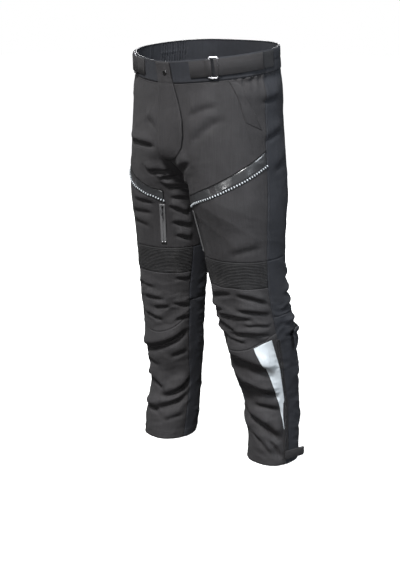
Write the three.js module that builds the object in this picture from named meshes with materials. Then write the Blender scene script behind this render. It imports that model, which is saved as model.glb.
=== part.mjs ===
// Motorcycle riding trousers as worn, in millimetres.
// Origin: centre of the waist opening, level with its front edge. +Z up, the wearer faces -Y
// and the wearer's left is +X. The cloth is a set of cut panels laid on one smooth outer
// surface; a point of it is named by (u, level): u runs once round a leg from the inseam (0)
// by the front (.25), side seam (.5) and back (.75), level is the drop below the front waist.
import * as THREE from "three";

// ---- driving sizes ---------------------------------------------------------------------
const GIRTH_GRADE = 1.0;      // widths and depths of waist, hip and legs; 1 is the size built
const LENGTH_GRADE = 1.0;     // heights; 1 is the regular leg
const CLOTH = 1.5;            // outer shell, laminated woven cloth
const SEAM = 1.0;             // half the clearance kept along a seam
const OVERLAY_LIFT = 2.2;     // air under a piece sewn on top of the shell
const OVERLAY = 1.2;          // thickness of a sewn-on piece
const WAISTBAND_DEPTH = 48;   // height of the waistband
const WAIST_RISE = 36;        // back of the waist stands this much above the front
const FLY_BOTTOM = -200;      // bottom stop of the fly zip
const BAND_TOP = -437;        // stretch band above the knee, top edge
const BAND_BOTTOM = -499;     // and bottom edge
const SHIN_BACK_TOP = -572;   // lower edge of the gusset behind the knee
const ARMOUR_THICK = 11;      // knee protector
const RING_WIRE = 3;          // wire of the waist adjuster ring
const THIGH_ZIP_U = 0.166;    // thigh pocket zip: place round the leg,
const THIGH_ZIP = [-328, -424]; // top and bottom
const CALF_ZIP_U = 0.46;      // calf zip: place round the leg
const CALF_ZIP_STRAIGHT = -796; // below this the calf zip runs straight
const HEM = { left: -948, right: -931 };
const CROTCH = -265;

// ---- body shape: level, centre x, centre y, half width, half depth -----------------------
const LEG = {
  left: [[-948, 148, 80, 57, 61], [-890, 145, 84, 58, 62], [-806, 139, 84, 61, 66],
    [-736, 134, 71, 69, 76], [-636, 128, 50, 78, 86], [-546, 122, 25, 82, 88],
    [-466, 116, 13, 84, 92], [-366, 109, 4, 92, 104], [-310, 103, 4, 97, 122],
    [-265, 98, 8, 97, 132]],
  right: [[-931, 124, 5, 61, 66], [-876, 122, 12, 61, 66], [-790, 119, 22, 60, 64],
    [-706, 116, 14, 65, 71], [-616, 113, 8, 69, 76], [-541, 111, 5, 74, 82],
    [-466, 108, 6, 80, 90], [-366, 105, 6, 90, 103], [-310, 101, 8, 95, 119],
    [-265, 98, 8, 97, 132]],
};
// level, half width, depth in front, depth behind, how far the fly line is drawn in
const PELVIS = [[-265, 196, 136, 146, 12], [-205, 191, 140, 150, 4], [-140, 187, 137, 146, 2],
  [-90, 185, 132, 142, 2], [-40, 178, 130, 138, 1], [0, 175, 134, 136, 0]];

const clamp = (v, lo, hi) => Math.min(hi, Math.max(lo, v));
const mix = (a, b, t) => a + (b - a) * t;
const power = (v, p) => Math.sign(v) * Math.abs(v) ** p;

// smooth curve through the rows of a table, first column against the others
function along(table, x) {
  let i = 0;
  while (i < table.length - 2 && x >= table[i + 1][0]) i++;
  const slope = (j, k) => {
    const a = Math.max(0, j - 1), b = Math.min(table.length - 1, j + 1);
    return (table[b][k] - table[a][k]) / (table[b][0] - table[a][0]);
  };
  const h = table[i + 1][0] - table[i][0], s = clamp((x - table[i][0]) / h, 0, 1);
  return table[i].slice(1).map((v, n) => {
    const k = n + 1, w = table[i + 1][k];
    return (2 * s ** 3 - 3 * s * s + 1) * v + (s ** 3 - 2 * s * s + s) * h * slope(i, k)
      + (3 * s * s - 2 * s ** 3) * w + (s ** 3 - s * s) * h * slope(i + 1, k);
  });
}

// The outer surface. u below 0 or above 1 carries on: round the same leg below the crotch,
// across the centre line to the other side above it.
function surface(side, u, level) {
  if ((u < 0 || u > 1) && level <= CROTCH) return surface(side, u < 0 ? u + 1 : u - 1, level);
  if (u < 0 || u > 1) {
    const other = side === "left" ? "right" : "left";
    return surface(other, u < 0 ? -u : 2 - u, level);
  }
  const turn = 2 * Math.PI * u;
  const [cx, cy, a, b] = along(LEG[side], Math.min(level, CROTCH));
  const legX = cx - a * power(Math.cos(turn), 0.9), legY = cy - b * power(Math.sin(turn), 0.9);
  const [half, front, back, drawn] = along(PELVIS, Math.max(level, CROTCH));
  const angle = Math.PI * (u - 0.06 * Math.sin(turn));
  const hipX = half * power(Math.sin(angle), 0.92);
  const hipY = -(u < 0.5 ? front : back) * power(Math.cos(angle), 0.92)
    + drawn * Math.exp(-((u / 0.13) ** 2));
  const share = Math.sin(Math.PI * u) ** 2, reach = 120 * share;
  const h = clamp((level - CROTCH + reach) / ((u < 0.5 ? 80 : 150) + reach), 0, 1);
  const w = (1 - (1 - h) ** 2) ** (0.55 + 0.95 * share);
  const top = clamp((level + 260) / 260, 0, 1);
  const round = Math.min(1, u / 0.8);
  const lift = WAIST_RISE * top * top * (3 - 2 * top) * round * round * (3 - 2 * round);
  return new THREE.Vector3(
    (side === "left" ? 1 : -1) * mix(legX, hipX, w) * GIRTH_GRADE,
    mix(legY, hipY, w) * GIRTH_GRADE,
    (level + lift) * LENGTH_GRADE);
}

function normal(side, u, level) {
  const du = 0.002, dl = 2;
  const round = surface(side, u + du, level).sub(surface(side, u - du, level));
  const up = surface(side, u, Math.min(0, level + dl))
    .sub(surface(side, u, Math.min(0, level + dl) - 2 * dl));
  const n = round.cross(up).normalize();
  return side === "left" ? n : n.negate();
}

const lifted = (side, u, level, off) =>
  surface(side, u, level).addScaledVector(normal(side, u, level), off);

// distance walked on the surface for one unit of u
const perTurn = (side, u, level) =>
  surface(side, u + 0.004, level).distanceTo(surface(side, u - 0.004, level)) / 0.008;

// ---- making bodies -------------------------------------------------------------------------
const group = new THREE.Group();
group.name = "riding_trousers";

const finish = {
  shell: [0x3c3a3d, 0.86, 0], dark: [0x26272d, 0.85, 0], band: [0x302f33, 0.9, 0],
  gloss: [0x4a4a4e, 0.28, 0], silver: [0xc9d2d6, 0.35, 0.2], metal: [0xb9bcc0, 0.25, 1],
  zip: [0x6d6e72, 0.35, 0.1], slider: [0x2a2a2c, 0.35, 1], hook: [0x1e1f24, 0.98, 0],
  foam: [0x55585c, 0.9, 0], mesh: [0x1b1b1d, 0.95, 0], tape: [0x343337, 0.8, 0],
};

function add(name, geometry, kind) {
  const [color, roughness, metalness] = finish[kind];
  geometry.computeVertexNormals();
  const made = new THREE.Mesh(geometry,
    new THREE.MeshStandardMaterial({ color, roughness, metalness }));
  made.name = name;
  group.add(made);
}

// Closed shell between two (n+1) x (m+1) nets of points; `out` is the net that faces outward.
function shellBody(out, inn, n, m, flip) {
  const points = [...out, ...inn], half = out.length, at = (i, j) => j * (n + 1) + i;
  const faces = [];
  const quad = (a, b, c, d) => faces.push(...(flip ? [a, c, b, a, d, c] : [a, b, c, a, c, d]));
  for (let j = 0; j < m; j++) {
    for (let i = 0; i < n; i++) {
      const [a, b, c, d] = [at(i, j), at(i, j + 1), at(i + 1, j + 1), at(i + 1, j)];
      quad(a, b, c, d);
      quad(half + a, half + d, half + c, half + b);
    }
  }
  for (let i = 0; i < n; i++) {
    quad(at(i, 0), at(i + 1, 0), half + at(i + 1, 0), half + at(i, 0));
    quad(at(i + 1, m), at(i, m), half + at(i, m), half + at(i + 1, m));
  }
  for (let j = 0; j < m; j++) {
    quad(at(0, j + 1), at(0, j), half + at(0, j), half + at(0, j + 1));
    quad(at(n, j), at(n, j + 1), half + at(n, j + 1), half + at(n, j));
  }
  const geometry = new THREE.BufferGeometry();
  geometry.setAttribute("position",
    new THREE.Float32BufferAttribute(points.flatMap((p) => p.toArray()), 3));
  geometry.setIndex(faces);
  return geometry;
}

// A cut panel. from/to give u at its two long edges, top/bottom its levels; each may be a
// number or a function of the fraction along that edge. lo and hi are heights off the surface.
// rows, if given, are the fractions down the panel at which its rows of points stand.
function panel(name, kind, side, { from, to, top, bottom, lo, hi, n, m, rows, seam = SEAM }) {
  const value = (v, t) => (typeof v === "function" ? v(t) : v);
  const out = [], inn = [], down = rows ?? Array.from({ length: m + 1 }, (_, j) => j / m);
  for (const t of down) {
    for (let i = 0; i <= n; i++) {
      const s = i / n;
      const level = mix(value(top, s) - seam, value(bottom, s) + seam, t);
      let u0 = value(from, t), u1 = value(to, t);
      u0 += seam / perTurn(side, clamp(u0, 0.01, 1.99), level);
      u1 -= seam / perTurn(side, clamp(u1, 0.01, 1.99), level);
      const u = mix(u0, u1, s);
      out.push(lifted(side, u, level, value(hi, s)));
      inn.push(lifted(side, u, level, value(lo, s)));
    }
  }
  add(name, shellBody(out, inn, n, down.length - 1, side === "right"), kind);
}

// Profile points [across, out] carried along frames {at, across, out}; closed at both ends.
function sweep(frames, profile) {
  const n = profile.length, points = [], faces = [];
  for (const f of frames) {
    for (const [x, y] of profile) {
      points.push(f.at.clone().addScaledVector(f.across, x).addScaledVector(f.out, y));
    }
  }
  for (let j = 0; j + 1 < frames.length; j++) {
    for (let i = 0; i < n; i++) {
      const k = (i + 1) % n, a = j * n + i, b = j * n + k, c = a + n, d = b + n;
      faces.push(a, c, d, a, d, b);
    }
  }
  const cap = THREE.ShapeUtils.triangulateShape(profile.map((p) => new THREE.Vector2(...p)), []);
  const last = (frames.length - 1) * n;
  for (const [a, b, c] of cap) {
    faces.push(a, b, c);
    faces.push(last + a, last + c, last + b);
  }
  const geometry = new THREE.BufferGeometry();
  geometry.setAttribute("position",
    new THREE.Float32BufferAttribute(points.flatMap((p) => p.toArray()), 3));
  geometry.setIndex(faces);
  return volume(geometry) < 0 ? turnedOut(geometry) : geometry;
}

function volume(geometry) {
  const p = geometry.attributes.position, f = geometry.index.array;
  const [a, b, c] = [new THREE.Vector3(), new THREE.Vector3(), new THREE.Vector3()];
  let sum = 0;
  for (let i = 0; i < f.length; i += 3) {
    a.fromBufferAttribute(p, f[i]);
    b.fromBufferAttribute(p, f[i + 1]);
    c.fromBufferAttribute(p, f[i + 2]);
    sum += a.dot(b.cross(c));
  }
  return sum;
}

function turnedOut(geometry) {
  const f = geometry.index.array;
  for (let i = 0; i < f.length; i += 3) [f[i], f[i + 1]] = [f[i + 1], f[i]];
  return geometry;
}

// Frame standing on the surface: down the leg, across it, and outward.
function station(side, u, level, off = 0) {
  const out = normal(side, u, level);
  const down = surface(side, u, level - 3).sub(surface(side, u, level + 3)).normalize();
  const across = down.clone().cross(out).normalize();
  return { at: surface(side, u, level).addScaledVector(out, off), down, across, out };
}

// The same outward and across directions carried down a straight line between two levels.
function straight(side, u, topLevel, bottomLevel, off, steps) {
  const a = station(side, u, topLevel, off), b = station(side, u, bottomLevel, off);
  const down = b.at.clone().sub(a.at).normalize();
  const out = a.out.clone().add(b.out);
  out.addScaledVector(down, -out.dot(down)).normalize();
  const across = down.clone().cross(out).normalize();
  const line = [];
  for (let i = 0; i <= steps; i++) {
    line.push({ at: a.at.clone().lerp(b.at, i / steps), down, across, out });
  }
  return line;
}

const box = (w, low, high) => [[-w / 2, low], [w / 2, low], [w / 2, high], [-w / 2, high]];
// zip section: flat tape with the raised chain down its middle
const zipSection = (tape, chain, thick, height) => [[-tape / 2, 0], [tape / 2, 0],
  [tape / 2, thick], [chain / 2, thick], [chain / 2 - 0.6, height], [-chain / 2 + 0.6, height],
  [-chain / 2, thick], [-tape / 2, thick]];

// Short block standing on a frame: slid `along` the frame, `length` long.
function block(frame, along0, length, profile) {
  const move = (d) => ({ ...frame, at: frame.at.clone().addScaledVector(frame.down, d) });
  return sweep([move(along0), move(along0 + length)], profile);
}

// ---- waistband and what sits on it --------------------------------------------------------
const WAIST_LO = -1.5, WAIST_HI = 1.0;
const WAIST_BAND = { top: 0, bottom: -WAISTBAND_DEPTH, lo: WAIST_LO, hi: WAIST_HI, m: 2,
  seam: 0.5 };
for (const side of ["left", "right"]) {
  panel(`waistband_front_${side}`, "shell", side,
    { ...WAIST_BAND, from: 0.002, to: 0.5, n: 14 });
}
panel("waistband_back", "dark", "left", { ...WAIST_BAND, from: 0.5, to: 1.5, n: 24 });

// ---- shell panels of hips and thighs -------------------------------------------------------
const sideSeam = (level) => mix(0.486, 0.462, clamp((-300 - level) / 190, 0, 1));
const crotchRoom = (level) => 0.004 * Math.exp(-(((level - CROTCH - 6) / 24) ** 2));
const flyGap = (level) => 0.0145 * clamp((level - FLY_BOTTOM + 24) / 24, 0, 1)
  + crotchRoom(level);
const HIP = { top: -WAISTBAND_DEPTH - 0.5, bottom: BAND_TOP, lo: -CLOTH, hi: 0 };
const hipLevel = (t) => mix(HIP.top, HIP.bottom, t);
HIP.rows = [-HIP.top, 76, 106, 136, 166, 190, 212, 232, 248, 260, 270, 292, 324, 360, 398, 437].map((drop) => (-drop - HIP.top) / (HIP.bottom - HIP.top));
for (const side of ["left", "right"]) {
  panel(`front_thigh_${side}`, "shell", side, { ...HIP, from: (t) => flyGap(hipLevel(t)),
    to: (t) => sideSeam(hipLevel(t)), n: 10 });
  panel(`side_panel_${side}`, "dark", side, { ...HIP, from: (t) => sideSeam(hipLevel(t)),
    to: 0.66, n: 4 });
  panel(`seat_${side}`, "dark", side, { ...HIP, from: 0.66,
    to: (t) => 1 - crotchRoom(hipLevel(t)), n: 8 });
  panel(`lining_upper_${side}`, "mesh", side, { top: -60, bottom: BAND_TOP + 4,
    from: (t) => 0.004 + 0.045 * clamp((mix(-60, BAND_TOP, t) + 245) / 24, 0, 1),
    to: 0.996, lo: -7, hi: -6, n: 13, m: 11 });

  // gloss strip and reflective piping slanting up across the thigh to the side seam
  const pipe = (s) => mix(-321, -224, s ** 1.08);
  const strip = { lo: OVERLAY_LIFT, hi: OVERLAY_LIFT + OVERLAY, seam: 0 };
  panel(`gloss_panel_${side}`, "gloss", side, { ...strip, from: 0.158, to: 0.484,
    top: (s) => pipe(s) + mix(25, 30, s), bottom: (s) => pipe(s) + 4.2, n: 18, m: 2 });
  panel(`thigh_piping_${side}`, "silver", side, { ...strip, from: 0.154, to: 0.488,
    top: (s) => pipe(s) + 2.3, bottom: (s) => pipe(s) - 2.3, hi: OVERLAY_LIFT + 2.4,
    n: 18, m: 1 });
  // slanted hand pocket facing
  panel(`pocket_welt_${side}`, "shell", side, { ...strip, top: -54, bottom: -156,
    from: (t) => mix(0.335, 0.398, t ** 0.8), to: (t) => mix(0.382, 0.472, t), n: 3, m: 6 });
}

// ---- fly -------------------------------------------------------------------------------------
const FLY_TOP = -WAISTBAND_DEPTH - 3;
const flyLine = straight("left", 0, FLY_TOP, FLY_BOTTOM, -6.2, 1)
  .map((f) => ({ ...f, across: new THREE.Vector3(1, 0, 0) }));
add("fly_zip", sweep(flyLine, zipSection(26, 5, 0.8, 2.6)), "zip");
const flySlide = flyLine[0];
add("fly_slider", block(flySlide, 3, 11, [[-4.5, 2.95], [4.5, 2.95], [4.5, 4.4], [2, 5.2],
  [-2, 5.2], [-4.5, 4.4]]), "slider");

// flap: sewn at the wearer's right of the fly, free edge past the centre on the left
panel("fly_flap", "shell", "left", { top: -1, bottom: (s) => -216 + 34 * s ** 4,
  from: -0.062, to: (t) => mix(0.036, 0.12, clamp(t * 1.35, 0, 1)),
  lo: OVERLAY_LIFT + 1.2, hi: OVERLAY_LIFT + 2.6, n: 6, m: 12, seam: 0 });
const snapPlace = station("left", 0.004, -24);
const discProfile = (r, low, high) => [[r, low], [r, high], [0.4 * r, high + 0.5]];
function disc(frame, r, low, high) {
  const rim = discProfile(r, low, high), points = [], faces = [], sides = 20;
  const put = (rad, h, k) => {
    const a = (k / sides) * 2 * Math.PI;
    points.push(frame.at.clone().addScaledVector(frame.across, rad * Math.cos(a))
      .addScaledVector(frame.down, rad * Math.sin(a)).addScaledVector(frame.out, h));
  };
  for (const [rad, h] of rim) for (let k = 0; k < sides; k++) put(rad, h, k);
  const foot = points.length;
  put(0, low, 0);
  put(0, rim[2][1], 0);
  for (let k = 0; k < sides; k++) {
    const q = (k + 1) % sides;
    for (const r0 of [0, sides]) {
      faces.push(r0 + k, r0 + q, r0 + sides + q, r0 + k, r0 + sides + q, r0 + sides + k);
    }
    faces.push(foot, q, k);
    faces.push(foot + 1, 2 * sides + k, 2 * sides + q);
  }
  const geometry = new THREE.BufferGeometry();
  geometry.setAttribute("position",
    new THREE.Float32BufferAttribute(points.flatMap((p) => p.toArray()), 3));
  geometry.setIndex(faces);
  return volume(geometry) < 0 ? turnedOut(geometry) : geometry;
}
add("snap_stud", disc(station("left", 0.024, -24), 5, 1.35, 1.9), "metal");
add("snap_cap", disc(snapPlace, 6.5, OVERLAY_LIFT + 3.2, OVERLAY_LIFT + 4.6), "metal");

// ---- waist adjusters ---------------------------------------------------------------------------
const RING_U = 0.28, RING_LEVEL = -20;
for (const side of ["left", "right"]) {
  const strapTop = -3, strapBottom = -37, low = 2.2;
  panel(`loop_patch_${side}`, "hook", side, { from: RING_U + 0.0225, to: 0.535, top: strapTop,
    bottom: strapBottom, lo: low, hi: low + 1.1, n: 10, m: 1, seam: 0 });
  panel(`waist_strap_${side}`, "tape", side, { from: RING_U + 0.022, to: 0.48, top: strapTop,
    bottom: strapBottom, lo: low + 1.9, hi: low + 3.2, n: 9, m: 1, seam: 0 });
  panel(`strap_anchor_${side}`, "tape", side, { from: 0.168, to: RING_U - 0.022,
    top: strapTop, bottom: strapBottom, lo: low, hi: low + 2.4, n: 5, m: 1, seam: 0 });
  const ring = station(side, RING_U, RING_LEVEL);
  const high = 23.5, wide = 9.5, path = [];
  for (let k = 0; k < 4; k++) {
    for (const a of [20, 70]) {
      const t = ((k * 90 + a) * Math.PI) / 180;
      path.push([(k === 0 || k === 3 ? 1 : -1) * (wide - 1.8) + 1.8 * Math.cos(t),
        (k < 2 ? 1 : -1) * (high - 1.8) + 1.8 * Math.sin(t)]);
    }
  }
  add(`strap_ring_${side}`, hoop(ring, path, low + 1.6, RING_WIRE), "metal");
}

// Closed hoop of square wire laid flat on a frame through the path points [across, down].
function hoop(frame, path, off, wire) {
  const n = path.length, points = [], faces = [];
  const middle = frame.at.clone().addScaledVector(frame.out, off);
  for (const [x, y] of path) {
    const away = new THREE.Vector2(x, y * 0.28).normalize();
    for (const [r, h] of [[-0.5, -0.5], [0.5, -0.5], [0.5, 0.5], [-0.5, 0.5]]) {
      const px = x + Math.sign(x) * r * wire * Math.min(1, Math.abs(away.x) * 2);
      const py = y + Math.sign(y) * r * wire * Math.min(1, Math.abs(away.y) * 2);
      points.push(middle.clone().addScaledVector(frame.across, px)
        .addScaledVector(frame.down, py).addScaledVector(frame.out, h * wire * 0.8));
    }
  }
  for (let i = 0; i < n; i++) {
    const a = i * 4, b = ((i + 1) % n) * 4;
    for (let k = 0; k < 4; k++) {
      const q = (k + 1) % 4;
      faces.push(a + k, b + k, b + q, a + k, b + q, a + q);
    }
  }
  const geometry = new THREE.BufferGeometry();
  geometry.setAttribute("position",
    new THREE.Float32BufferAttribute(points.flatMap((p) => p.toArray()), 3));
  geometry.setIndex(faces);
  return volume(geometry) < 0 ? turnedOut(geometry) : geometry;
}

// ---- thigh pocket zips --------------------------------------------------------------------------
for (const side of ["left", "right"]) {
  const line = straight(side, THIGH_ZIP_U, ...THIGH_ZIP, OVERLAY_LIFT, 1);
  add(`thigh_zip_${side}`, sweep(line, zipSection(13, 4, 1, 2.4)), "zip");
  add(`thigh_slider_${side}`, block(line[0], 1, 10, box(7.5, 2.8, 5.4)), "slider");
  // the pull hangs straight down from the head of its slider
  const pivot = line[0].at.clone().addScaledVector(line[0].down, 3)
    .addScaledVector(line[0].out, 7);
  const hang = { at: pivot, down: new THREE.Vector3(0, 0, -1),
    across: line[0].across.clone().setZ(0).normalize(),
    out: line[0].out.clone().setZ(0).normalize() };
  add(`thigh_pull_${side}`, block(hang, -0.5, 22, box(4.5, -0.6, 0.6)), "slider");
}

// ---- knees ----------------------------------------------------------------------------------------
const kneeHem = (s) => -612 - 39 * Math.sin(Math.PI * clamp(s * 1.02, 0, 1)) ** 1.1;
for (const side of ["left", "right"]) {
  panel(`knee_band_${side}`, "band", side, { from: 0.03, to: 0.462, top: BAND_TOP,
    bottom: BAND_BOTTOM, lo: -1.2, hi: 0.4, n: 12, m: 3 });
  panel(`knee_gusset_${side}`, "band", side, { from: 0.462, to: 1.03, top: BAND_TOP,
    bottom: SHIN_BACK_TOP, lo: -1.2, hi: 0.2, n: 12, m: 4 });
  panel(`knee_panel_${side}`, "shell", side, { from: 0.03, to: (t) => mix(0.462, 0.444, t),
    top: BAND_BOTTOM, bottom: kneeHem, lo: -CLOTH, hi: 0, n: 11, m: 5 });
  panel(`knee_armour_${side}`, "foam", side, { from: 0.1, to: 0.4, top: -512, bottom: -652,
    lo: -3 - ARMOUR_THICK, hi: -3, n: 7, m: 5 });

  // ---- shins
  const hem = HEM[side], zipSeam = 0.012;
  panel(`shin_panel_${side}`, "shell", side, { from: 0.03, to: CALF_ZIP_U - zipSeam,
    top: kneeHem, bottom: hem, lo: -CLOTH, hi: 0, n: 11, m: 9 });
  panel(`calf_panel_${side}`, "dark", side, { from: CALF_ZIP_U + zipSeam, to: 1.03,
    top: SHIN_BACK_TOP, bottom: hem, lo: -CLOTH, hi: 0, n: 11, m: 10 });
  panel(`lining_lower_${side}`, "mesh", side, { from: 0.004, to: 0.996, top: -662,
    bottom: hem + 18, lo: -7, hi: -6, n: 12, m: 6 });
  panel(`reflective_wedge_${side}`, "silver", side, { top: (s) => mix(-643, -626, s),
    bottom: -872, from: (t) => mix(0.336, 0.428, t), to: (t) => mix(0.424, 0.436, t),
    lo: OVERLAY_LIFT, hi: OVERLAY_LIFT + 0.8, n: 4, m: 9, seam: 0 });

  // calf zip, following the leg above and straight below
  const upper = [0, 1, 2, 3, 4, 5, 6, 7].map((k) =>
    station(side, CALF_ZIP_U, mix(-628, CALF_ZIP_STRAIGHT + 16, k / 7), -0.2));
  const lower = straight(side, CALF_ZIP_U, CALF_ZIP_STRAIGHT, hem + 14, 0.8, 1);
  add(`calf_zip_${side}`, sweep([...upper, ...lower], zipSection(8.5, 4, 0.8, 2)), "zip");
  const home = { ...lower[1], at: lower[1].at.clone().addScaledVector(lower[1].down, -14) };
  add(`calf_slider_${side}`, block(home, 0, 11, box(7.5, 2.4, 4.8)), "slider");

  // hem strap: sewn in front of the zip, its free end standing off behind
  const root = station(side, 0.44, hem + 26);
  const lead = root.across.clone().multiplyScalar(side === "left" ? -1 : 1);
  const strapPath = [0, 14, 30, 48, 66].map((d, k) => {
    const at = root.at.clone().addScaledVector(lead, d)
      .addScaledVector(root.out, OVERLAY_LIFT + 5.2 - 0.0016 * d * d);
    return { at, across: new THREE.Vector3(0, 0, 1), out: root.out, k };
  });
  add(`hem_strap_${side}`, sweep(strapPath, box(20, 0, 1.8)), "tape");

  // calf tab: small flap sewn along its top behind the knee seam, corner standing off
  panel(`calf_tab_${side}`, "dark", side, { from: 0.535, to: (t) => mix(0.66, 0.645, t),
    top: -612, bottom: (s) => mix(-664, -640, s), lo: (s) => mix(9, OVERLAY_LIFT, s),
    hi: (s) => mix(10.4, OVERLAY_LIFT + 1.4, s), n: 4, m: 3, seam: 0 });
}

export default group;
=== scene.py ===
"""Motorcycle riding trousers as worn: cut and sewn cloth panels, zips, straps and reflective
trim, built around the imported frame."""

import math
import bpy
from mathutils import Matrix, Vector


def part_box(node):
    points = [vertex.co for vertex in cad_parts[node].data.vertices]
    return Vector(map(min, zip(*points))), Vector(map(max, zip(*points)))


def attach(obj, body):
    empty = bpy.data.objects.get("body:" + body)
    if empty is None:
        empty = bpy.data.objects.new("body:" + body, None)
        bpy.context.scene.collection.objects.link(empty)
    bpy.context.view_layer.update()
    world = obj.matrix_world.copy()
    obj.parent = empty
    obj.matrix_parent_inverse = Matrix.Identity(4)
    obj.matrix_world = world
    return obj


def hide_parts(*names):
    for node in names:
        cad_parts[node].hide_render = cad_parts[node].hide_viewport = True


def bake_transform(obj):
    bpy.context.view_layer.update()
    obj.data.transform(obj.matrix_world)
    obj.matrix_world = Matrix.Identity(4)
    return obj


bl_info = {
    "name": "Riding Trousers",
    "version": (1, 0, 0),
    "blender": (4, 5, 0),
    "location": "View3D > Sidebar > Trousers",
    "description": "Builds worn riding trousers panel by panel on a draped surface",
    "category": "Add Mesh",
}

import bpy
import numpy as np
from bpy.props import FloatProperty, FloatVectorProperty, PointerProperty
from mathutils import Vector

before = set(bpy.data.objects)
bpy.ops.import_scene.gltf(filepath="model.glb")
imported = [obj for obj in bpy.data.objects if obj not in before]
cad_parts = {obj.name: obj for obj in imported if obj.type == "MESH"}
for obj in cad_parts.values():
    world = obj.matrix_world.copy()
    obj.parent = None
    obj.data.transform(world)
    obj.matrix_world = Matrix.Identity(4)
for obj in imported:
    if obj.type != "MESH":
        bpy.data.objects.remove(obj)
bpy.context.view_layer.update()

# ---- the body shape, in millimetres, as the frame has it ---------------------------------------
MM = 0.001
SIDES = ("left", "right")
HEM = {"left": -948.0, "right": -931.0}
CROTCH = -265.0
WAIST_RISE = 36.0
WAISTBAND = 48.0
BAND_TOP, BAND_BOTTOM = -437.0, -499.0
CALF_TOP = -572.0
CALF_ZIP_U, THIGH_ZIP_U = 0.46, 0.166
THIGH_ZIP = (-328.0, -424.0)
CALF_ZIP_STRAIGHT = -796.0
FLY_BOTTOM = -200.0
RING_U, RING_LEVEL = 0.28, -20.0
INSEAM_U, FRONT_U = 0.03, 0.43      # where the knee and shin fronts start, and how wide they are
SEAT_U = 0.66
KNEE_SEAM = -612.0
SNAP_LEVEL = -24.0
FLOOR_LEVEL = -1031.0
EDGE_TURN = 1.7                     # how far in from a seam the cloth is still turned under
UP = (0.0, 0.0, 1.0)
SKY_TINT = (0.86, 0.93, 1.0)
# level, centre x, centre y, half width, half depth
LEG = {
    "left": [(-948, 148, 80, 57, 61), (-890, 145, 84, 58, 62), (-806, 139, 84, 61, 66),
             (-736, 134, 71, 69, 76), (-636, 128, 50, 78, 86), (-546, 122, 25, 82, 88),
             (-466, 116, 13, 84, 92), (-366, 109, 4, 92, 104), (-310, 103, 4, 97, 122),
             (-265, 98, 8, 97, 132)],
    "right": [(-931, 124, 5, 61, 66), (-876, 122, 12, 61, 66), (-790, 119, 22, 60, 64),
              (-706, 116, 14, 65, 71), (-616, 113, 8, 69, 76), (-541, 111, 5, 74, 82),
              (-466, 108, 6, 80, 90), (-366, 105, 6, 90, 103), (-310, 101, 8, 95, 119),
              (-265, 98, 8, 97, 132)],
}
# level, half width, depth in front, depth behind, how far the fly line is drawn in
PELVIS = [(-265, 196, 136, 146, 12), (-205, 191, 140, 150, 4), (-140, 187, 137, 146, 2),
          (-90, 185, 132, 142, 2), (-40, 178, 130, 138, 1), (0, 175, 134, 136, 0)]


def along(table, x):
    """Smooth curve through the rows of a table: a cubic between neighbours whose end slopes are
    the average slopes across each row."""
    rows = np.asarray(table, float)
    xs, ys = rows[:, 0], rows[:, 1:]
    low = np.clip(np.arange(len(xs)) - 1, 0, None)
    high = np.clip(np.arange(len(xs)) + 1, None, len(xs) - 1)
    slope = (ys[high] - ys[low]) / (xs[high] - xs[low])[:, None]
    i = np.clip(np.searchsorted(xs, x, side="right") - 1, 0, len(xs) - 2)
    h = (xs[i + 1] - xs[i])[..., None]
    s = np.clip((x - xs[i])[..., None] / h, 0, 1)
    out = (2 * s**3 - 3 * s**2 + 1) * ys[i] + (s**3 - 2 * s**2 + s) * h * slope[i]
    return out + (3 * s**2 - 2 * s**3) * ys[i + 1] + (s**3 - s**2) * h * slope[i + 1]


def smooth(x):
    """Smooth step from 0 to 1 over x = 0..1."""
    x = np.clip(x, 0, 1)
    return x * x * (3 - 2 * x)


def power(v, p):
    return np.sign(v) * np.abs(v) ** p


def place(u, level):
    """u carried round: below the crotch it wraps round the leg, above it crosses the centre line
    to the other side. Returns the wrapped u and where it crossed."""
    outside = (u < 0) | (u > 1)
    crossed = outside & (level > CROTCH)
    mirrored = np.where(u < 0, -u, 2 - u)
    return np.where(crossed, mirrored, np.where(outside, u % 1.0, u)), crossed


def surface(side, u, level):
    """Outer surface of the trousers in mm. A leg ring is a superellipse round its centre, the
    hips a wider half ellipse; a power of the height above the crotch blends one into the other,
    and the top is lifted towards the back."""
    u, level = np.broadcast_arrays(np.asarray(u, float), np.asarray(level, float))
    u, crossed = place(u, level)
    turn = 2 * np.pi * u
    cx, cy, a, b = np.moveaxis(along(LEG[side], np.minimum(level, CROTCH)), -1, 0)
    leg_x, leg_y = cx - a * power(np.cos(turn), 0.9), cy - b * power(np.sin(turn), 0.9)
    half, front, back, drawn = np.moveaxis(along(PELVIS, np.maximum(level, CROTCH)), -1, 0)
    angle = np.pi * (u - 0.06 * np.sin(turn))
    hip_x = half * power(np.sin(angle), 0.92)
    hip_y = -np.where(u < 0.5, front, back) * power(np.cos(angle), 0.92)
    hip_y = hip_y + drawn * np.exp(-((u / 0.13) ** 2))
    share = np.sin(np.pi * u) ** 2
    reach = 120 * share
    h = np.clip((level - CROTCH + reach) / (np.where(u < 0.5, 80, 150) + reach), 0, 1)
    w = (1 - (1 - h) ** 2) ** (0.55 + 0.95 * share)
    lift = WAIST_RISE * smooth((level + 260) / 260) * smooth(u / 0.8)
    sign = np.where(crossed, -1.0, 1.0) * (1 if side == "left" else -1)
    x = sign * (leg_x * (1 - w) + hip_x * w)
    return np.stack([x, leg_y * (1 - w) + hip_y * w, level + lift], -1)


def unit(v):
    return v / np.maximum(np.linalg.norm(v, axis=-1, keepdims=True), 1e-9)


def normal(side, u, level):
    """Outward normal: across the small steps of u and of level."""
    u, level = np.broadcast_arrays(np.asarray(u, float), np.asarray(level, float))
    low = np.minimum(level, -2.0)
    round_ = surface(side, u + 0.002, level) - surface(side, u - 0.002, level)
    n = unit(np.cross(round_, surface(side, u, low + 2) - surface(side, u, low - 2)))
    return n if side == "left" else -n


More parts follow.
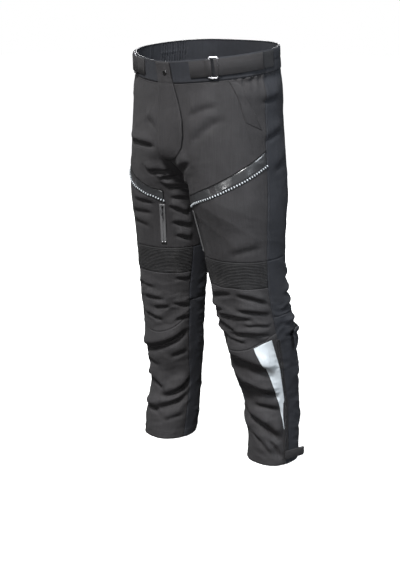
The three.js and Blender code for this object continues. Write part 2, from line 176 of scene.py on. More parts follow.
def girth(side, level):
    """Length of one turn of u at a level, in mm."""
    ring = surface(side, np.linspace(0.02, 0.98, 40)[:, None], np.atleast_1d(level)[None])
    return np.linalg.norm(np.diff(ring, axis=0), axis=-1).sum(0) / 0.96


# ---- folds -----------------------------------------------------------------------------------
# Each fold of the cloth: u and level of its two ends, sideways bow in mm, width, height. A fold
# is a ridge standing just above the line between its ends, with a sharp valley under it.
FOLDS = {
    "left": [
        (0.14, -120, 0.30, -96, 5, 13, 2.2), (0.16, -178, 0.33, -118, 8, 17, 2.6),
        (0.25, -52, 0.32, -44, 2, 6, 2.0), (0.40, -58, 0.455, -50, 2, 6, 3.2),
        (0.455, -96, 0.56, -94, -3, 9, 4.0), (0.47, -178, 0.58, -158, 4, 11, 4.5),
        (0.50, -240, 0.64, -214, 4, 15, 4.0), (0.06, -250, 0.17, -214, 4, 12, 3.5),
        (0.04, -300, 0.15, -268, 4, 12, 3.5), (0.05, -392, 0.20, -352, 5, 13, 2.5),
        (0.30, -420, 0.46, -400, 3, 14, 2.0),
        (0.29, -516, 0.45, -538, 7, 9, 4.5), (0.16, -530, 0.30, -512, 3, 10, 3.5),
        (0.28, -552, 0.46, -564, 4, 8, 4.8), (0.10, -560, 0.25, -556, 2, 8, 4.0),
        (0.17, -575, 0.37, -576, 7, 7, 5.0), (0.12, -580, 0.28, -606, 3, 7, 4.5),
        (0.22, -616, 0.44, -614, 6, 8, 5.5), (0.10, -612, 0.24, -622, 3, 7, 3.5),
        (0.21, -624, 0.31, -633, 2, 6, 3.5), (0.30, -590, 0.45, -592, 3, 6, 3.0),
        (0.15, -668, 0.43, -716, 8, 20, 12.0), (0.12, -716, 0.26, -732, 3, 9, 3.0),
        (0.16, -742, 0.43, -776, 9, 15, 9.5), (0.24, -796, 0.44, -812, 6, 11, 4.0),
        (0.16, -815, 0.43, -892, 9, 16, 8.5), (0.20, -868, 0.36, -925, 4, 10, 3.5),
        (0.33, -880, 0.43, -936, 4, 8, 4.0), (0.06, -842, 0.20, -880, 3, 12, 3.5),
        (0.49, -596, 0.64, -602, 3, 8, 5.5), (0.48, -622, 0.66, -634, 3, 8, 5.0),
        (0.50, -560, 0.68, -556, 3, 9, 5.0), (0.52, -526, 0.74, -534, 4, 9, 5.5),
        (0.56, -490, 0.80, -500, 4, 10, 5.0), (0.60, -578, 0.86, -584, -4, 9, 5.5),
        (0.62, -612, 0.86, -606, -4, 9, 5.0), (0.58, -660, 0.80, -700, 5, 13, 4.5),
        (0.54, -740, 0.78, -716, -6, 14, 4.5), (0.60, -800, 0.88, -770, 6, 14, 4.0),
        (0.55, -872, 0.80, -842, 6, 13, 4.5), (0.62, -916, 0.90, -900, 4, 10, 4.0),
        (0.62, -330, 0.86, -300, 6, 15, 4.5), (0.66, -276, 0.93, -262, 8, 13, 5.0),
        (0.70, -232, 0.96, -268, 6, 13, 4.5), (0.60, -392, 0.84, -372, 5, 16, 4.0),
        (0.62, -130, 0.88, -112, 5, 16, 3.0),
    ],
    "right": [
        (0.04, -189, 0.34, -190, 3, 10, 5.0), (0.03, -152, 0.16, -128, 3, 14, 2.2),
        (0.03, -246, 0.18, -254, 4, 9, 5.5), (0.05, -258, 0.14, -270, 3, 7, 4.5),
        (0.05, -294, 0.15, -284, 3, 9, 5.0), (0.05, -318, 0.14, -312, 2, 8, 3.5),
        (0.19, -330, 0.30, -322, 3, 8, 2.5), (0.06, -356, 0.15, -332, 3, 8, 4.5),
        (0.04, -388, 0.14, -372, 3, 9, 4.5), (0.04, -418, 0.12, -404, 2, 8, 4.0),
        (0.20, -352, 0.33, -356, 3, 10, 2.2), (0.22, -386, 0.34, -378, 3, 10, 2.0),
        (0.03, -520, 0.12, -512, 2, 8, 3.0), (0.16, -566, 0.30, -566, 3, 8, 3.5),
        (0.13, -584, 0.24, -592, 3, 7, 3.5), (0.17, -622, 0.32, -606, 3, 8, 4.5),
        (0.02, -590, 0.13, -574, 2, 8, 3.5), (0.20, -540, 0.36, -534, 3, 9, 2.2),
        (0.02, -640, 0.38, -708, -9, 15, 9.0), (0.02, -612, 0.12, -618, 2, 9, 3.5),
        (0.03, -700, 0.16, -718, 3, 12, 3.0), (0.22, -746, 0.36, -728, 4, 12, 3.0),
        (0.19, -806, 0.38, -774, 7, 14, 8.0), (0.02, -774, 0.24, -824, -8, 14, 8.5),
        (0.02, -814, 0.36, -862, -7, 13, 6.5), (0.20, -872, 0.38, -850, 4, 10, 3.5),
        (0.04, -868, 0.20, -884, 3, 10, 2.5), (0.46, -560, 0.62, -566, 3, 9, 4.5),
        (0.45, -600, 0.66, -606, 3, 9, 4.5), (0.55, -530, 0.80, -540, 4, 10, 5.5),
        (0.56, -582, 0.88, -592, -4, 9, 5.5), (0.62, -630, 0.90, -650, 4, 11, 4.5),
        (0.45, -660, 0.60, -690, 4, 12, 4.0), (0.56, -726, 0.84, -706, 6, 13, 4.5),
        (0.44, -800, 0.66, -778, 5, 13, 4.0), (0.60, -852, 0.90, -822, 6, 13, 4.5),
        (0.46, -890, 0.70, -872, 4, 10, 4.0), (0.45, -330, 0.62, -300, 5, 14, 4.0),
        (0.60, -372, 0.84, -352, 5, 15, 4.0), (0.64, -296, 0.92, -270, 7, 13, 5.0),
        (0.70, -236, 0.96, -262, 6, 13, 4.5), (0.47, -210, 0.62, -186, 4, 12, 4.0),
        (0.46, -110, 0.58, -100, 3, 10, 3.5), (0.62, -136, 0.88, -116, 5, 16, 3.0),
    ],
}

FOLD_HEIGHT = 1.45                  # every fold is drawn this much taller than its row says
CORNERS = 97                        # size of the table of random values behind the noise


def lattice(x, y, long, wide, seed):
    """Smooth noise from -1 to 1: random values at the corners of cells long by wide mm, blended
    with a smooth step inside each cell."""
    values = np.random.default_rng(seed).uniform(-1, 1, (CORNERS, CORNERS))
    a, b = x / long + 40, y / wide + 200
    i, j = np.floor(a).astype(int), np.floor(b).astype(int)
    s, t = smooth(a - i), smooth(b - j)
    corner = lambda p, q: values[(i + p) % CORNERS, (j + q) % CORNERS]
    low = corner(0, 0) * (1 - s) + corner(1, 0) * s
    high = corner(0, 1) * (1 - s) + corner(1, 1) * s
    return low * (1 - t) + high * t


def fold_field(side):
    """Height of the cloth above its smooth surface, in mm, on a grid of u by level. Along a fold
    the profile is a wide ridge minus a narrow valley below it, tapered to both ends; crossing
    sine waves bent by slower ones add the small crumples, stronger at crotch, knee and hem."""
    us, levels = np.linspace(0, 1, 401), np.linspace(-950, 0, 476)
    u, level = np.meshgrid(us, levels)
    turn = girth(side, np.minimum(levels, -1.0))[:, None]
    height = np.zeros_like(u)
    for u0, l0, u1, l1, bow, width, tall in FOLDS[side]:
        x, y = (u - u0) * turn, level - l0
        dx, dy = (u1 - u0) * np.interp((l0 + l1) / 2, levels, turn[:, 0]), l1 - l0
        length = math.hypot(dx, dy)
        t = (x * dx + y * dy) / length**2
        off = (y * dx - x * dy) / length - bow * 4 * t * (1 - t) * (np.abs(t - 0.5) < 1)
        taper = smooth(t / 0.3) * smooth((1 - t) / 0.3)
        crest = off - 0.9 * width
        ridge = np.exp(-((crest / (width * np.where(crest > 0, 1.35, 0.75))) ** 2))
        valley = np.exp(-(((off + 0.35 * width) / (0.5 * width)) ** 2))
        share = FOLD_HEIGHT * (0.5 if u0 > 0.45 else 1.0)
        height += share * tall * taper * (ridge - 0.9 * valley)
    arc = u * turn
    seed = 11 if side == "left" else 47
    bend = 16 * lattice(arc, level, 55, 60, seed) + 5 * lattice(arc, level, 21, 19, seed + 1)
    near_knee = np.exp(-(((level + 580) / 75) ** 2))
    lower = smooth((-640 - level) / 60)
    crotch = np.exp(-(((level + 270) / 65) ** 2)) * np.exp(-((np.minimum(u, 1 - u) / 0.17) ** 2))
    behind = np.exp(-(((u - 0.72) / 0.2) ** 2)) * (0.5 + 0.5 * near_knee)
    for tilt, long, wide, tall, where, k in (
            (0.10, 70, 17, 2.6, near_knee + 0.25 * behind, 2),
            (-0.30, 105, 26, 1.6, lower + 0.2 * behind, 3),
            (0.42, 95, 22, 1.3, lower + 0.3 * near_knee, 4),
            (0.25, 50, 12, 2.4, crotch + 0.6 * near_knee + 0.25 * lower, 5),
            (-0.12, 44, 9, 1.1, 0.2 + 0.6 * near_knee + 0.3 * lower + 0.5 * crotch, 6),
            (0.60, 120, 48, 3.0, 0.35 + 0.5 * lower, 7)):
        line = level + tilt * arc + bend
        ridge = 1 - np.abs(lattice(arc - tilt * level, line, long, wide, seed + k))
        height += tall * np.clip(where, 0, 1) * (np.clip(ridge, 0, 1) ** 2.2 - 0.42)
    side_pinch = np.exp(-(((u - 0.5) / 0.13) ** 2))
    height -= 4.5 * side_pinch * np.exp(-(((level + 52) / 11) ** 2))
    height += 3.0 * side_pinch * np.exp(-(((level + 82) / 16) ** 2))
    seam = smooth(np.minimum(u, 1 - u) / 0.03)
    height *= seam * (0.08 + 0.92 * smooth((-level - 40) / 26))
    for zip_u, top, low, wide in ((THIGH_ZIP_U, -300, -436, 15), (CALF_ZIP_U, -700, -960, 14)):
        near = np.exp(-((((u - zip_u) * turn) / wide) ** 2))
        height *= 1 - 0.93 * near * smooth((top - level) / 18) * smooth((level - low) / 14)
    fly = np.exp(-((u * turn / 42) ** 4)) * smooth((level + 236) / 24)
    return us, levels, height * (1 - fly)


FIELD = {side: fold_field(side) for side in SIDES}


def fold_height(side, u, level):
    """The fold grid read between its points."""
    def read(which):
        us, levels, height = FIELD[which]
        x = np.clip(uu, 0, 1) * (len(us) - 1)
        y = np.clip((level - levels[0]) / (levels[1] - levels[0]), 0, len(levels) - 1.001)
        i, j = np.minimum(x.astype(int), len(us) - 2), y.astype(int)
        s, t = x - i, y - j
        return ((1 - s) * (1 - t) * height[j, i] + s * (1 - t) * height[j, i + 1]
                + (1 - s) * t * height[j + 1, i] + s * t * height[j + 1, i + 1])
    u, level = np.broadcast_arrays(np.asarray(u, float), np.asarray(level, float))
    uu, crossed = place(u, level)
    other = SIDES[1 - SIDES.index(side)]
    return np.where(crossed, read(other), read(side))


def cloth(side, u, level, off=0.0):
    """A point off mm above the draped cloth."""
    base = surface(side, u, level)
    rise = fold_height(side, u, level) + off
    return base + normal(side, u, level) * rise[..., None]


# ---- making meshes -----------------------------------------------------------------------------
MATERIALS = {}


def new_piece(name, points, faces, finish, uv=None, flip=False):
    """Mesh object from points in mm and a list of polygons, with one UV pair for each point."""
    mesh = bpy.data.meshes.new(name)
    order = -1 if flip else 1
    mesh.from_pydata((np.asarray(points) * MM).tolist(), [],
                     [tuple(map(int, f))[::order] for f in faces])
    mesh.polygons.foreach_set("use_smooth", np.ones(len(mesh.polygons), bool))
    if uv is not None:
        loops = np.zeros(len(mesh.loops), np.int32)
        mesh.loops.foreach_get("vertex_index", loops)
        layer = mesh.uv_layers.new(name="UVMap")
        layer.data.foreach_set("uv", np.asarray(uv, float)[loops].astype(np.float32).ravel())
    mesh.materials.append(MATERIALS[finish])
    piece = bpy.data.objects.new(name, mesh)
    bpy.context.scene.collection.objects.link(piece)
    return piece


def grid_faces(rows, cols, closed=False):
    """Quads of a grid of points, row by row; closed joins the last column to the first."""
    j, i = np.meshgrid(np.arange(rows - 1), np.arange(cols if closed else cols - 1), indexing="ij")
    k = (i + 1) % cols
    quads = np.stack([j * cols + i, (j + 1) * cols + i, (j + 1) * cols + k, j * cols + k], -1)
    return quads.reshape(-1, 4)


def volume(points, faces):
    """Signed volume of a closed mesh: the sum over fans of triangles of a . (b x c) / 6."""
    fans = [(f[0], f[k], f[k + 1]) for f in faces for k in range(1, len(f) - 1)]
    a, b, c = (points[np.array(fans)[:, k]] for k in range(3))
    return np.einsum("ij,ij->i", a, np.cross(b, c)).sum() / 6


def tube(name, points, finish, uv=None, ring=False):
    """Closed rows of points joined into a tube with capped ends, or into a ring. Its faces are
    turned outwards by the sign of the volume."""
    rows, cols = points.shape[:2]
    faces = [tuple(f) for f in grid_faces(rows, cols, closed=True)]
    last = (rows - 1) * cols
    if ring:
        k = np.arange(cols)
        after = (k + 1) % cols
        faces += [tuple(f) for f in np.stack([last + k, k, after, last + after], -1)]
    else:
        faces += [tuple(range(cols)), tuple(range(last + cols - 1, last - 1, -1))]
    flat = points.reshape(-1, 3)
    return new_piece(name, flat, faces, finish, uv, flip=volume(flat, faces) < 0)


def arc_length(points):
    """Distance from the first point of a path to each of its points."""
    return np.concatenate([[0], np.cumsum(np.linalg.norm(np.diff(points, axis=0), axis=1))])


def sweep(name, at, across, out, profile, finish, ring=False):
    """Profile points (across, out) in mm carried along a path of frames."""
    profile = np.asarray(profile, float)
    profile = profile if profile.ndim == 3 else profile[None]
    points = at[:, None] + across[:, None] * profile[..., :1] + out[:, None] * profile[..., 1:]
    uv = np.broadcast_arrays(arc_length(profile[0])[None], arc_length(at)[:, None])
    return tube(name, points, finish, np.stack(uv, -1).reshape(-1, 2) * MM, ring)


def thicken(piece, thick):
    """Gives a sheet its thickness, inwards."""
    solid = piece.modifiers.new("thickness", "SOLIDIFY")
    solid.thickness, solid.offset = thick * MM, -1.0
    return piece


def graded(length, step):
    """Fractions along a length, close together near both ends so that a turned edge shows."""
    ends = np.array([0.0, 0.7, 1.5, 2.6, 4.2])
    if length < 14:
        return np.linspace(0, 1, max(3, int(length / 1.2) + 1))
    middle = np.linspace(6.5, length - 6.5, max(2, int((length - 13) / step) + 1))
    return np.concatenate([ends, middle, length - ends[::-1]]) / length


def value(v, t):
    return v(t) if callable(v) else np.full_like(t, float(v))


def panel_grid(side, start, end, top, bottom, step):
    """u and level of a cut panel's grid, the distance in mm of each point from the nearest
    edge, and its UV in metres of cloth. start/end are u of the long edges, top/bottom levels."""
    mid = lambda v: float(value(v, np.array([0.5]))[0])
    turn = float(girth(side, min(0.5 * (mid(top) + mid(bottom)), -1.0))[0])
    width, tall = (mid(end) - mid(start)) * turn, abs(mid(top) - mid(bottom))
    s, t = np.meshgrid(graded(width, step), graded(tall, step))
    level = value(top, s) * (1 - t) + value(bottom, s) * t
    u = value(start, t) * (1 - s) + value(end, t) * s
    edge = np.minimum(np.minimum(s, 1 - s) * width, np.minimum(t, 1 - t) * tall)
    return u, level, edge, np.stack([u * turn, level], -1) * MM


def cloth_panel(name, side, finish, start, end, top, bottom, off=0.0, thick=None, roll=1.3,
                step=None, rise=None):
    """A sewn panel: its grid laid on the draped cloth, its edges turned in by roll mm within
    about 2 mm of the seam. rise, if given, adds to the height as a function of u and level."""
    sizes = bpy.context.scene.trouser_sizes
    u, level, edge, uv = panel_grid(side, start, end, top, bottom, step or sizes.cloth_step / MM)
    height = off - roll * np.exp(-((edge / EDGE_TURN) ** 2))
    if rise is not None:
        height = height + rise(u, level)
    points = cloth(side, u, level, height)
    piece = new_piece(name, points.reshape(-1, 3), grid_faces(*u.shape), finish,
                      uv.reshape(-1, 2), flip=side == "right")
    return thicken(piece, thick or sizes.cloth_thick / MM)


def stations(side, u, level, off=0.0):
    """Frames standing on the draped cloth along a path of u and level: point, across, out."""
    u, level = np.broadcast_arrays(np.asarray(u, float), np.asarray(level, float))
    at = cloth(side, u, level, np.asarray(off, float))
    forward = unit(np.gradient(at, axis=0))
    across = unit(np.cross(forward, normal(side, u, level)))
    return at, across, unit(np.cross(across, forward))


def straight(side, u, top, bottom, off, steps):
    """Frames down the straight line that a zip and its slider follow."""
    na, nb = normal(side, u, top), normal(side, u, bottom)
    a, b = surface(side, u, top) + na * off, surface(side, u, bottom) + nb * off
    down = unit(b - a)
    out = na + nb
    out = unit(out - down * (out @ down))
    at = a + (b - a) * np.linspace(0, 1, steps)[:, None]
    return at, np.tile(np.cross(down, out), (steps, 1)), np.tile(out, (steps, 1)), down


def join(name, pieces):
    """Several meshes as one piece."""
    points, faces, start = [], [], 0
    used = pieces[0].data.materials[0]
    finish = next(key for key, material in MATERIALS.items() if material == used)
    for p in pieces:
        co = np.zeros(len(p.data.vertices) * 3)
        p.data.vertices.foreach_get("co", co)
        points.append(co.reshape(-1, 3) / MM)
        faces += [tuple(start + v for v in f.vertices) for f in p.data.polygons]
        start += len(p.data.vertices)
        bpy.data.objects.remove(p)
    return new_piece(name, np.concatenate(points), faces, finish)


def box_of(x, y, corner):
    """Profile of a rounded rectangle, (across, out), with half width x and half height y."""
    c = min(corner, 2 * x / 2.1, 2 * y / 2.1)
    return [(c - x, -y), (x - c, -y), (x, c - y), (x, y - c), (x - c, y), (c - x, y), (-x, y - c),
            (-x, c - y)]


def oval(x, y, sides):
    """Profile of an ellipse with half width x and half height y."""
    a = np.linspace(0, 2 * np.pi, sides, endpoint=False)
    return np.stack([x * np.cos(a), y * np.sin(a)], -1)


def loft_rows(widths, heights, bottom, sides=20, p=0.6):
    """Cross-sections of a smooth block for sweep(): superellipses of the given widths and
    heights standing on a base level."""
    ring = power(oval(1, 1, sides), p)
    x = ring[None, :, 0] * np.asarray(widths)[:, None] / 2
    y = (ring[None, :, 1] + 1) * np.asarray(heights)[:, None] / 2 + bottom
    return np.stack([x, y], -1)


def bend_at_knee(piece):
    """Bakes the piece's placement into its mesh; the cloth is not bent at the knee."""
    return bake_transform(piece)


def done(piece, body, slot, *nodes):
    """Parents the piece to the body's empty, or, if body is ("knee", side), only bakes its transform
    in place; then hides the parts it stands for."""
    if isinstance(body, tuple):
        bend_at_knee(piece)
    else:
        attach(piece, body)
    if nodes:
        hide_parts(*nodes)
    return piece


def sewn(name, side, finish, start, end, top, bottom, body="trousers_upper", slot=None, **shape):
    """A cloth panel that stands for the node of the same name."""
    piece = cloth_panel(f"visual_{name}", side, finish, start, end, top, bottom, **shape)
    return done(piece, body, slot or finish, name)


def repeated(name, frames, shape, finish):
    """One small closed shape set at every frame (point, across, ahead, out): each of its points
    is point + x across + y ahead + z out."""
    at, across, ahead, out = frames
    points, faces = np.asarray(shape[0], float), shape[1]
    if volume(points, faces) < 0:
        faces = [tuple(reversed(f)) for f in faces]
    placed = (at[:, None] + across[:, None] * points[None, :, :1]
              + ahead[:, None] * points[None, :, 1:2] + out[:, None] * points[None, :, 2:])
    starts = np.arange(len(at))[:, None] * len(points)
    polygons = [tuple(row) for f in faces for row in (starts + np.array(f)[None]).tolist()]
    return new_piece(name, placed.reshape(-1, 3), polygons, finish)


def capsule(length, radius, sides=6, flat=0.7):
    """Stitch or bead: two rings and two end points, pressed flat by a factor."""
    round_ = oval(radius, flat * radius, sides)
    ring = np.stack([round_[:, 0], 0 * round_[:, 0], round_[:, 1]], -1)
    y = length / 2 - 0.5 * radius
    tips = [[0, -length / 2, 0], [0, length / 2, 0]]
    faces = []
    for k in range(sides):
        j = (k + 1) % sides
        faces += [(k, j, sides + j, sides + k), (j, k, 2 * sides),
                  (sides + k, sides + j, 2 * sides + 1)]
    return np.concatenate([ring - [0, y, 0], ring + [0, y, 0], tips]), faces


def block(wide, long, high, taper=0.75):
    """Small tooth: a block narrowed towards its top."""
    x, y = wide / 2, long / 2
    points = [(-x, -y, 0), (x, -y, 0), (x, y, 0), (-x, y, 0)]
    points += [(px * taper, py * taper, high) for px, py, _ in points]
    return points, [(3, 2, 1, 0), (4, 5, 6, 7), (0, 1, 5, 4), (1, 2, 6, 5), (2, 3, 7, 6),
                    (3, 0, 4, 7)]


def spaced(at, out, pitch, phase=0.5):
    """Frames at equal arc-length steps along a path: (point, across, ahead, out)."""
    run = arc_length(at)
    count = max(1, int(run[-1] / pitch))
    want = (np.arange(count) + phase) * run[-1] / count
    pick = lambda v, x: np.stack([np.interp(x, run, v[:, k]) for k in range(3)], -1)
    ahead = unit(pick(at, want + 0.5) - pick(at, want - 0.5))
    across = unit(np.cross(ahead, unit(pick(out, want))))
    return pick(at, want), across, ahead, np.cross(across, ahead)


# ---- materials -------------------------------------------------------------------------------
class Nodes:
    """Adds nodes to one tree. An input is a number, a colour, a vector or a node's output."""

    def __init__(self, tree):
        self.tree = tree

    def feed(self, socket, v):
        if isinstance(v, bpy.types.NodeSocket):
            self.tree.links.new(v, socket)
        else:
            socket.default_value = (*v[:3], 1) if socket.type == "RGBA" else v

    def add(self, kind, inputs, output=0, **settings):
        """A node with its settings and its inputs, {socket: value}; gives back one output."""
        node = self.tree.nodes.new("ShaderNode" + kind)
        for key, v in settings.items():
            setattr(node, key, v)
        for key, v in inputs.items():
            self.feed(node.inputs[key], v)
        return node.outputs[output]

    def calc(self, operation, *values):
        return self.add("Math", dict(enumerate(values)), operation=operation)

    def times(self, a, b):
        return self.calc("MULTIPLY", a, b)

    def plus(self, a, b):
        return self.calc("ADD", a, b)

    def mix(self, share, a, b):
        return self.add("Mix", {0: share, 6: a, 7: b}, 2, data_type="RGBA")

    def scaled(self, colour, factor):
        return self.add("VectorMath", {0: colour, "Scale": factor}, operation="SCALE")

    def split(self, vector):
        return self.add("SeparateXYZ", {0: vector}).node.outputs[:2]

    def noise(self, vector, scale, detail=3.0, rough=0.55):
        return self.add("TexNoise", {"Vector": vector, "Scale": scale, "Detail": detail,
                                     "Roughness": rough}, "Fac")

    def cells(self, vector, scale):
        return self.add("TexVoronoi", {"Vector": vector, "Scale": scale}, "Distance")

    def ramp(self, x, low, high):
        return self.add("MapRange", {0: x, 1: low, 2: high, 3: 0.0, 4: 1.0},
                        interpolation_type="SMOOTHSTEP")


def group(name, inputs, outputs):
    """An empty node group. An input with no default is a vector, and one with three numbers a
    colour. Of the outputs, only Colour is a colour."""
    tree = bpy.data.node_groups.new(name, "ShaderNodeTree")
    for label, default in inputs.items():
        colour = isinstance(default, tuple)
        kind = "Vector" if default is None else "Color" if colour else "Float"
        socket = tree.interface.new_socket(label, in_out="INPUT", socket_type="NodeSocket" + kind)
        if default is not None:
            socket.default_value = (*default, 1) if colour else default
    for label in outputs:
        kind = "Color" if label == "Colour" else "Float"
        tree.interface.new_socket(label, in_out="OUTPUT", socket_type="NodeSocket" + kind)
    return Nodes(tree), tree.nodes.new("NodeGroupInput").outputs


def finish_group(g, **values):
    """Links the group's results to its output sockets."""
    put = g.tree.nodes.new("NodeGroupOutput").inputs
    for label, v in values.items():
        g.feed(put[label], v)
    return g.tree


def weave_group():
    """Plain weave. Warp threads run along V and weft along U; each thread is a half sine across
    its width, and the one on top changes from cell to cell like a chessboard. Threads differ a
    little in shade, and slow noise adds handling marks."""
    g, given = group("plain_weave", {
        "UV": None, "Threads": 1100.0, "Colour": (0.04, 0.04, 0.04),
        "Worn Colour": (0.07, 0.07, 0.07), "Wear": 0.3, "Roughness": 0.7},
        ("Colour", "Roughness", "Height"))
    across, down = (g.times(v, given["Threads"]) for v in g.split(given["UV"]))
    sine_x, sine_y = (g.calc("SINE", g.times(v, math.pi)) for v in (across, down))
    over = g.calc("GREATER_THAN", g.times(sine_x, sine_y), 0.0)
    warp = g.times(g.calc("ABSOLUTE", sine_x), over)
    weft = g.times(g.calc("ABSOLUTE", sine_y), g.calc("SUBTRACT", 1.0, over))
    height = g.plus(warp, weft)
    thread = g.add("CombineXYZ", {0: g.calc("FLOOR", across),
                                  1: g.times(g.calc("FLOOR", down), 0.02)})
    slub = g.noise(thread, 0.7, 1.0)
    patch = g.noise(given["UV"], 26.0, 4.0, 0.6)
    rub = g.ramp(g.noise(given["UV"], 9.0, 5.0, 0.65), 0.48, 0.75)
    worn = g.mix(g.times(rub, given["Wear"]), given["Colour"], given["Worn Colour"])
    cloudy = g.times(g.calc("MULTIPLY_ADD", slub, 0.5, 0.55),
                     g.calc("MULTIPLY_ADD", patch, 0.4, 0.72))
    # light: random thread tone and handling marks times the thread height. Each thread's crown is
    # lighter and the gaps between threads darker, which is painted shade.
    light = g.times(cloudy, g.plus(g.times(height, 0.55), 0.72))
    rough = g.plus(given["Roughness"], g.times(g.calc("SUBTRACT", patch, 0.5), 0.3))
    return finish_group(g, Colour=g.scaled(worn, g.times(light, 1.25)), Roughness=rough,
                        Height=height)


def dust_group():
    """Lint and dust: small sparse spots and a soft film, as a share that lightens a colour."""
    g, given = group("lint_and_dust", {
        "Place": None, "Amount": 0.3, "Colour": (0.04, 0.04, 0.04),
        "Dust Colour": (0.2, 0.19, 0.18)}, ("Colour", "Mask"))
    spots = g.ramp(g.noise(given["Place"], 620.0, 1.0), 0.70, 0.78)
    film = g.ramp(g.noise(given["Place"], 14.0, 5.0, 0.7), 0.5, 0.85)
    mask = g.times(g.plus(g.times(spots, 0.5), g.times(film, 0.35)), given["Amount"])
    return finish_group(g, Colour=g.mix(mask, given["Colour"], given["Dust Colour"]), Mask=mask)


def rib_group():
    """Knitted ribs: columns of small loops. The height is a sine across the ribs times a faster
    one along them."""
    g, given = group("rib_knit", {"UV": None, "Loops": 700.0, "Colour": (0.03, 0.03, 0.03)},
                     ("Colour", "Height"))
    loops, rows = (g.calc("SINE", g.times(g.times(v, given["Loops"]), 2 * math.pi))
                   for v in g.split(given["UV"]))
    height = g.calc("MULTIPLY_ADD", g.times(loops, rows), 0.5, 0.5)
    # Colour scaled by the loop height: lighter on the loops and darker in the troughs between them,
    # which is painted shade; the noise adds random tone.
    light = g.times(g.plus(height, 0.55), g.plus(g.noise(given["UV"], 60.0), 0.5))
    return finish_group(g, Colour=g.scaled(given["Colour"], light), Height=height)


def scuff_group():
    """Scratches and handling marks for metal, coating and moulded parts, from stretched noise."""
    g, given = group("scuffs", {
        "Place": None, "Scale": 200.0, "Colour": (0.5, 0.5, 0.5),
        "Dark Colour": (0.2, 0.2, 0.2), "Roughness": 0.3}, ("Colour", "Roughness", "Height"))
    turned = g.add("Mapping", {"Vector": given["Place"], "Rotation": (0.3, 0.5, 0.8),
                               "Scale": (1.0, 6.0, 1.0)})
    mark = g.ramp(g.noise(turned, given["Scale"], 4.0, 0.5), 0.55, 0.72)
    broad = g.noise(given["Place"], 45.0)
    uneven = g.times(g.plus(mark, g.calc("SUBTRACT", broad, 0.5)), 0.18)
    return finish_group(g, Colour=g.mix(mark, given["Colour"], given["Dark Colour"]),
                        Roughness=g.plus(given["Roughness"], uneven),
                        Height=g.plus(mark, g.times(broad, 1.2)))


GROUPS = {}


class Finish(Nodes):
    """One material: a Principled BSDF with its constants, and what most finishes share."""

    def __init__(self, name, **constants):
        MATERIALS[name] = bpy.data.materials.new(name)
        MATERIALS[name].use_nodes = True
        super().__init__(MATERIALS[name].node_tree)
        self.shader = self.tree.nodes["Principled BSDF"].inputs
        for key, v in constants.items():
            self.feed(self.shader[key.replace("_", " ")], v)
        texture = self.tree.nodes.new("ShaderNodeTexCoord")
        self.uv, self.place = texture.outputs["UV"], texture.outputs["Object"]

    def group(self, name, **values):
        node = self.tree.nodes.new("ShaderNodeGroup")
        node.node_tree = GROUPS[name]
        for key, v in values.items():
            self.feed(node.inputs[key.replace("_", " ")], v)
        return node.outputs

    def skin(self, colour, rough, dust=None, **more):
        """Base colour, under dust if an amount is given, and roughness."""
        if dust is not None:
            colour = self.group("dust", Place=self.place, Amount=dust, Colour=colour,
                                **more)["Colour"]
        self.feed(self.shader["Base Color"], colour)
        self.feed(self.shader["Roughness"], rough)

    def bump(self, height, distance, strength, under=None):
        inputs = {"Strength": strength, "Distance": distance, "Height": height}
        if under is not None:
            inputs["Normal"] = under
        out = self.add("Bump", inputs)
        self.feed(self.shader["Normal"], out)
        return out


def woven(name, colour, worn, threads, rough, wear=0.35, dust=0.12, depth=0.00022):
    """Woven cloth: weave for colour, roughness and bump, with lint over it."""
    f = Finish(name, Sheen_Weight=0.03, Sheen_Roughness=0.45, Specular_IOR_Level=0.22)
    weave = f.group("weave", UV=f.uv, Threads=threads, Colour=colour, Worn_Colour=worn,
                    Wear=wear, Roughness=rough)
    f.skin(weave["Colour"], weave["Roughness"], dust)
    slow = f.bump(f.noise(f.place, 75.0, 4.0, 0.6), 0.0012, 0.5)
    f.bump(weave["Height"], depth, 0.8, under=slow)


def metal(name, colour, dark, rough, metallic=1.0):
    f = Finish(name, Metallic=metallic)
    marks = f.group("scuffs", Place=f.place, Scale=420.0, Colour=colour, Dark_Colour=dark,
                    Roughness=rough)
    f.skin(marks["Colour"], marks["Roughness"])
    f.bump(marks["Height"], 0.00004, 0.4)


def shade(colour, factor):
    return tuple(factor * c for c in colour)


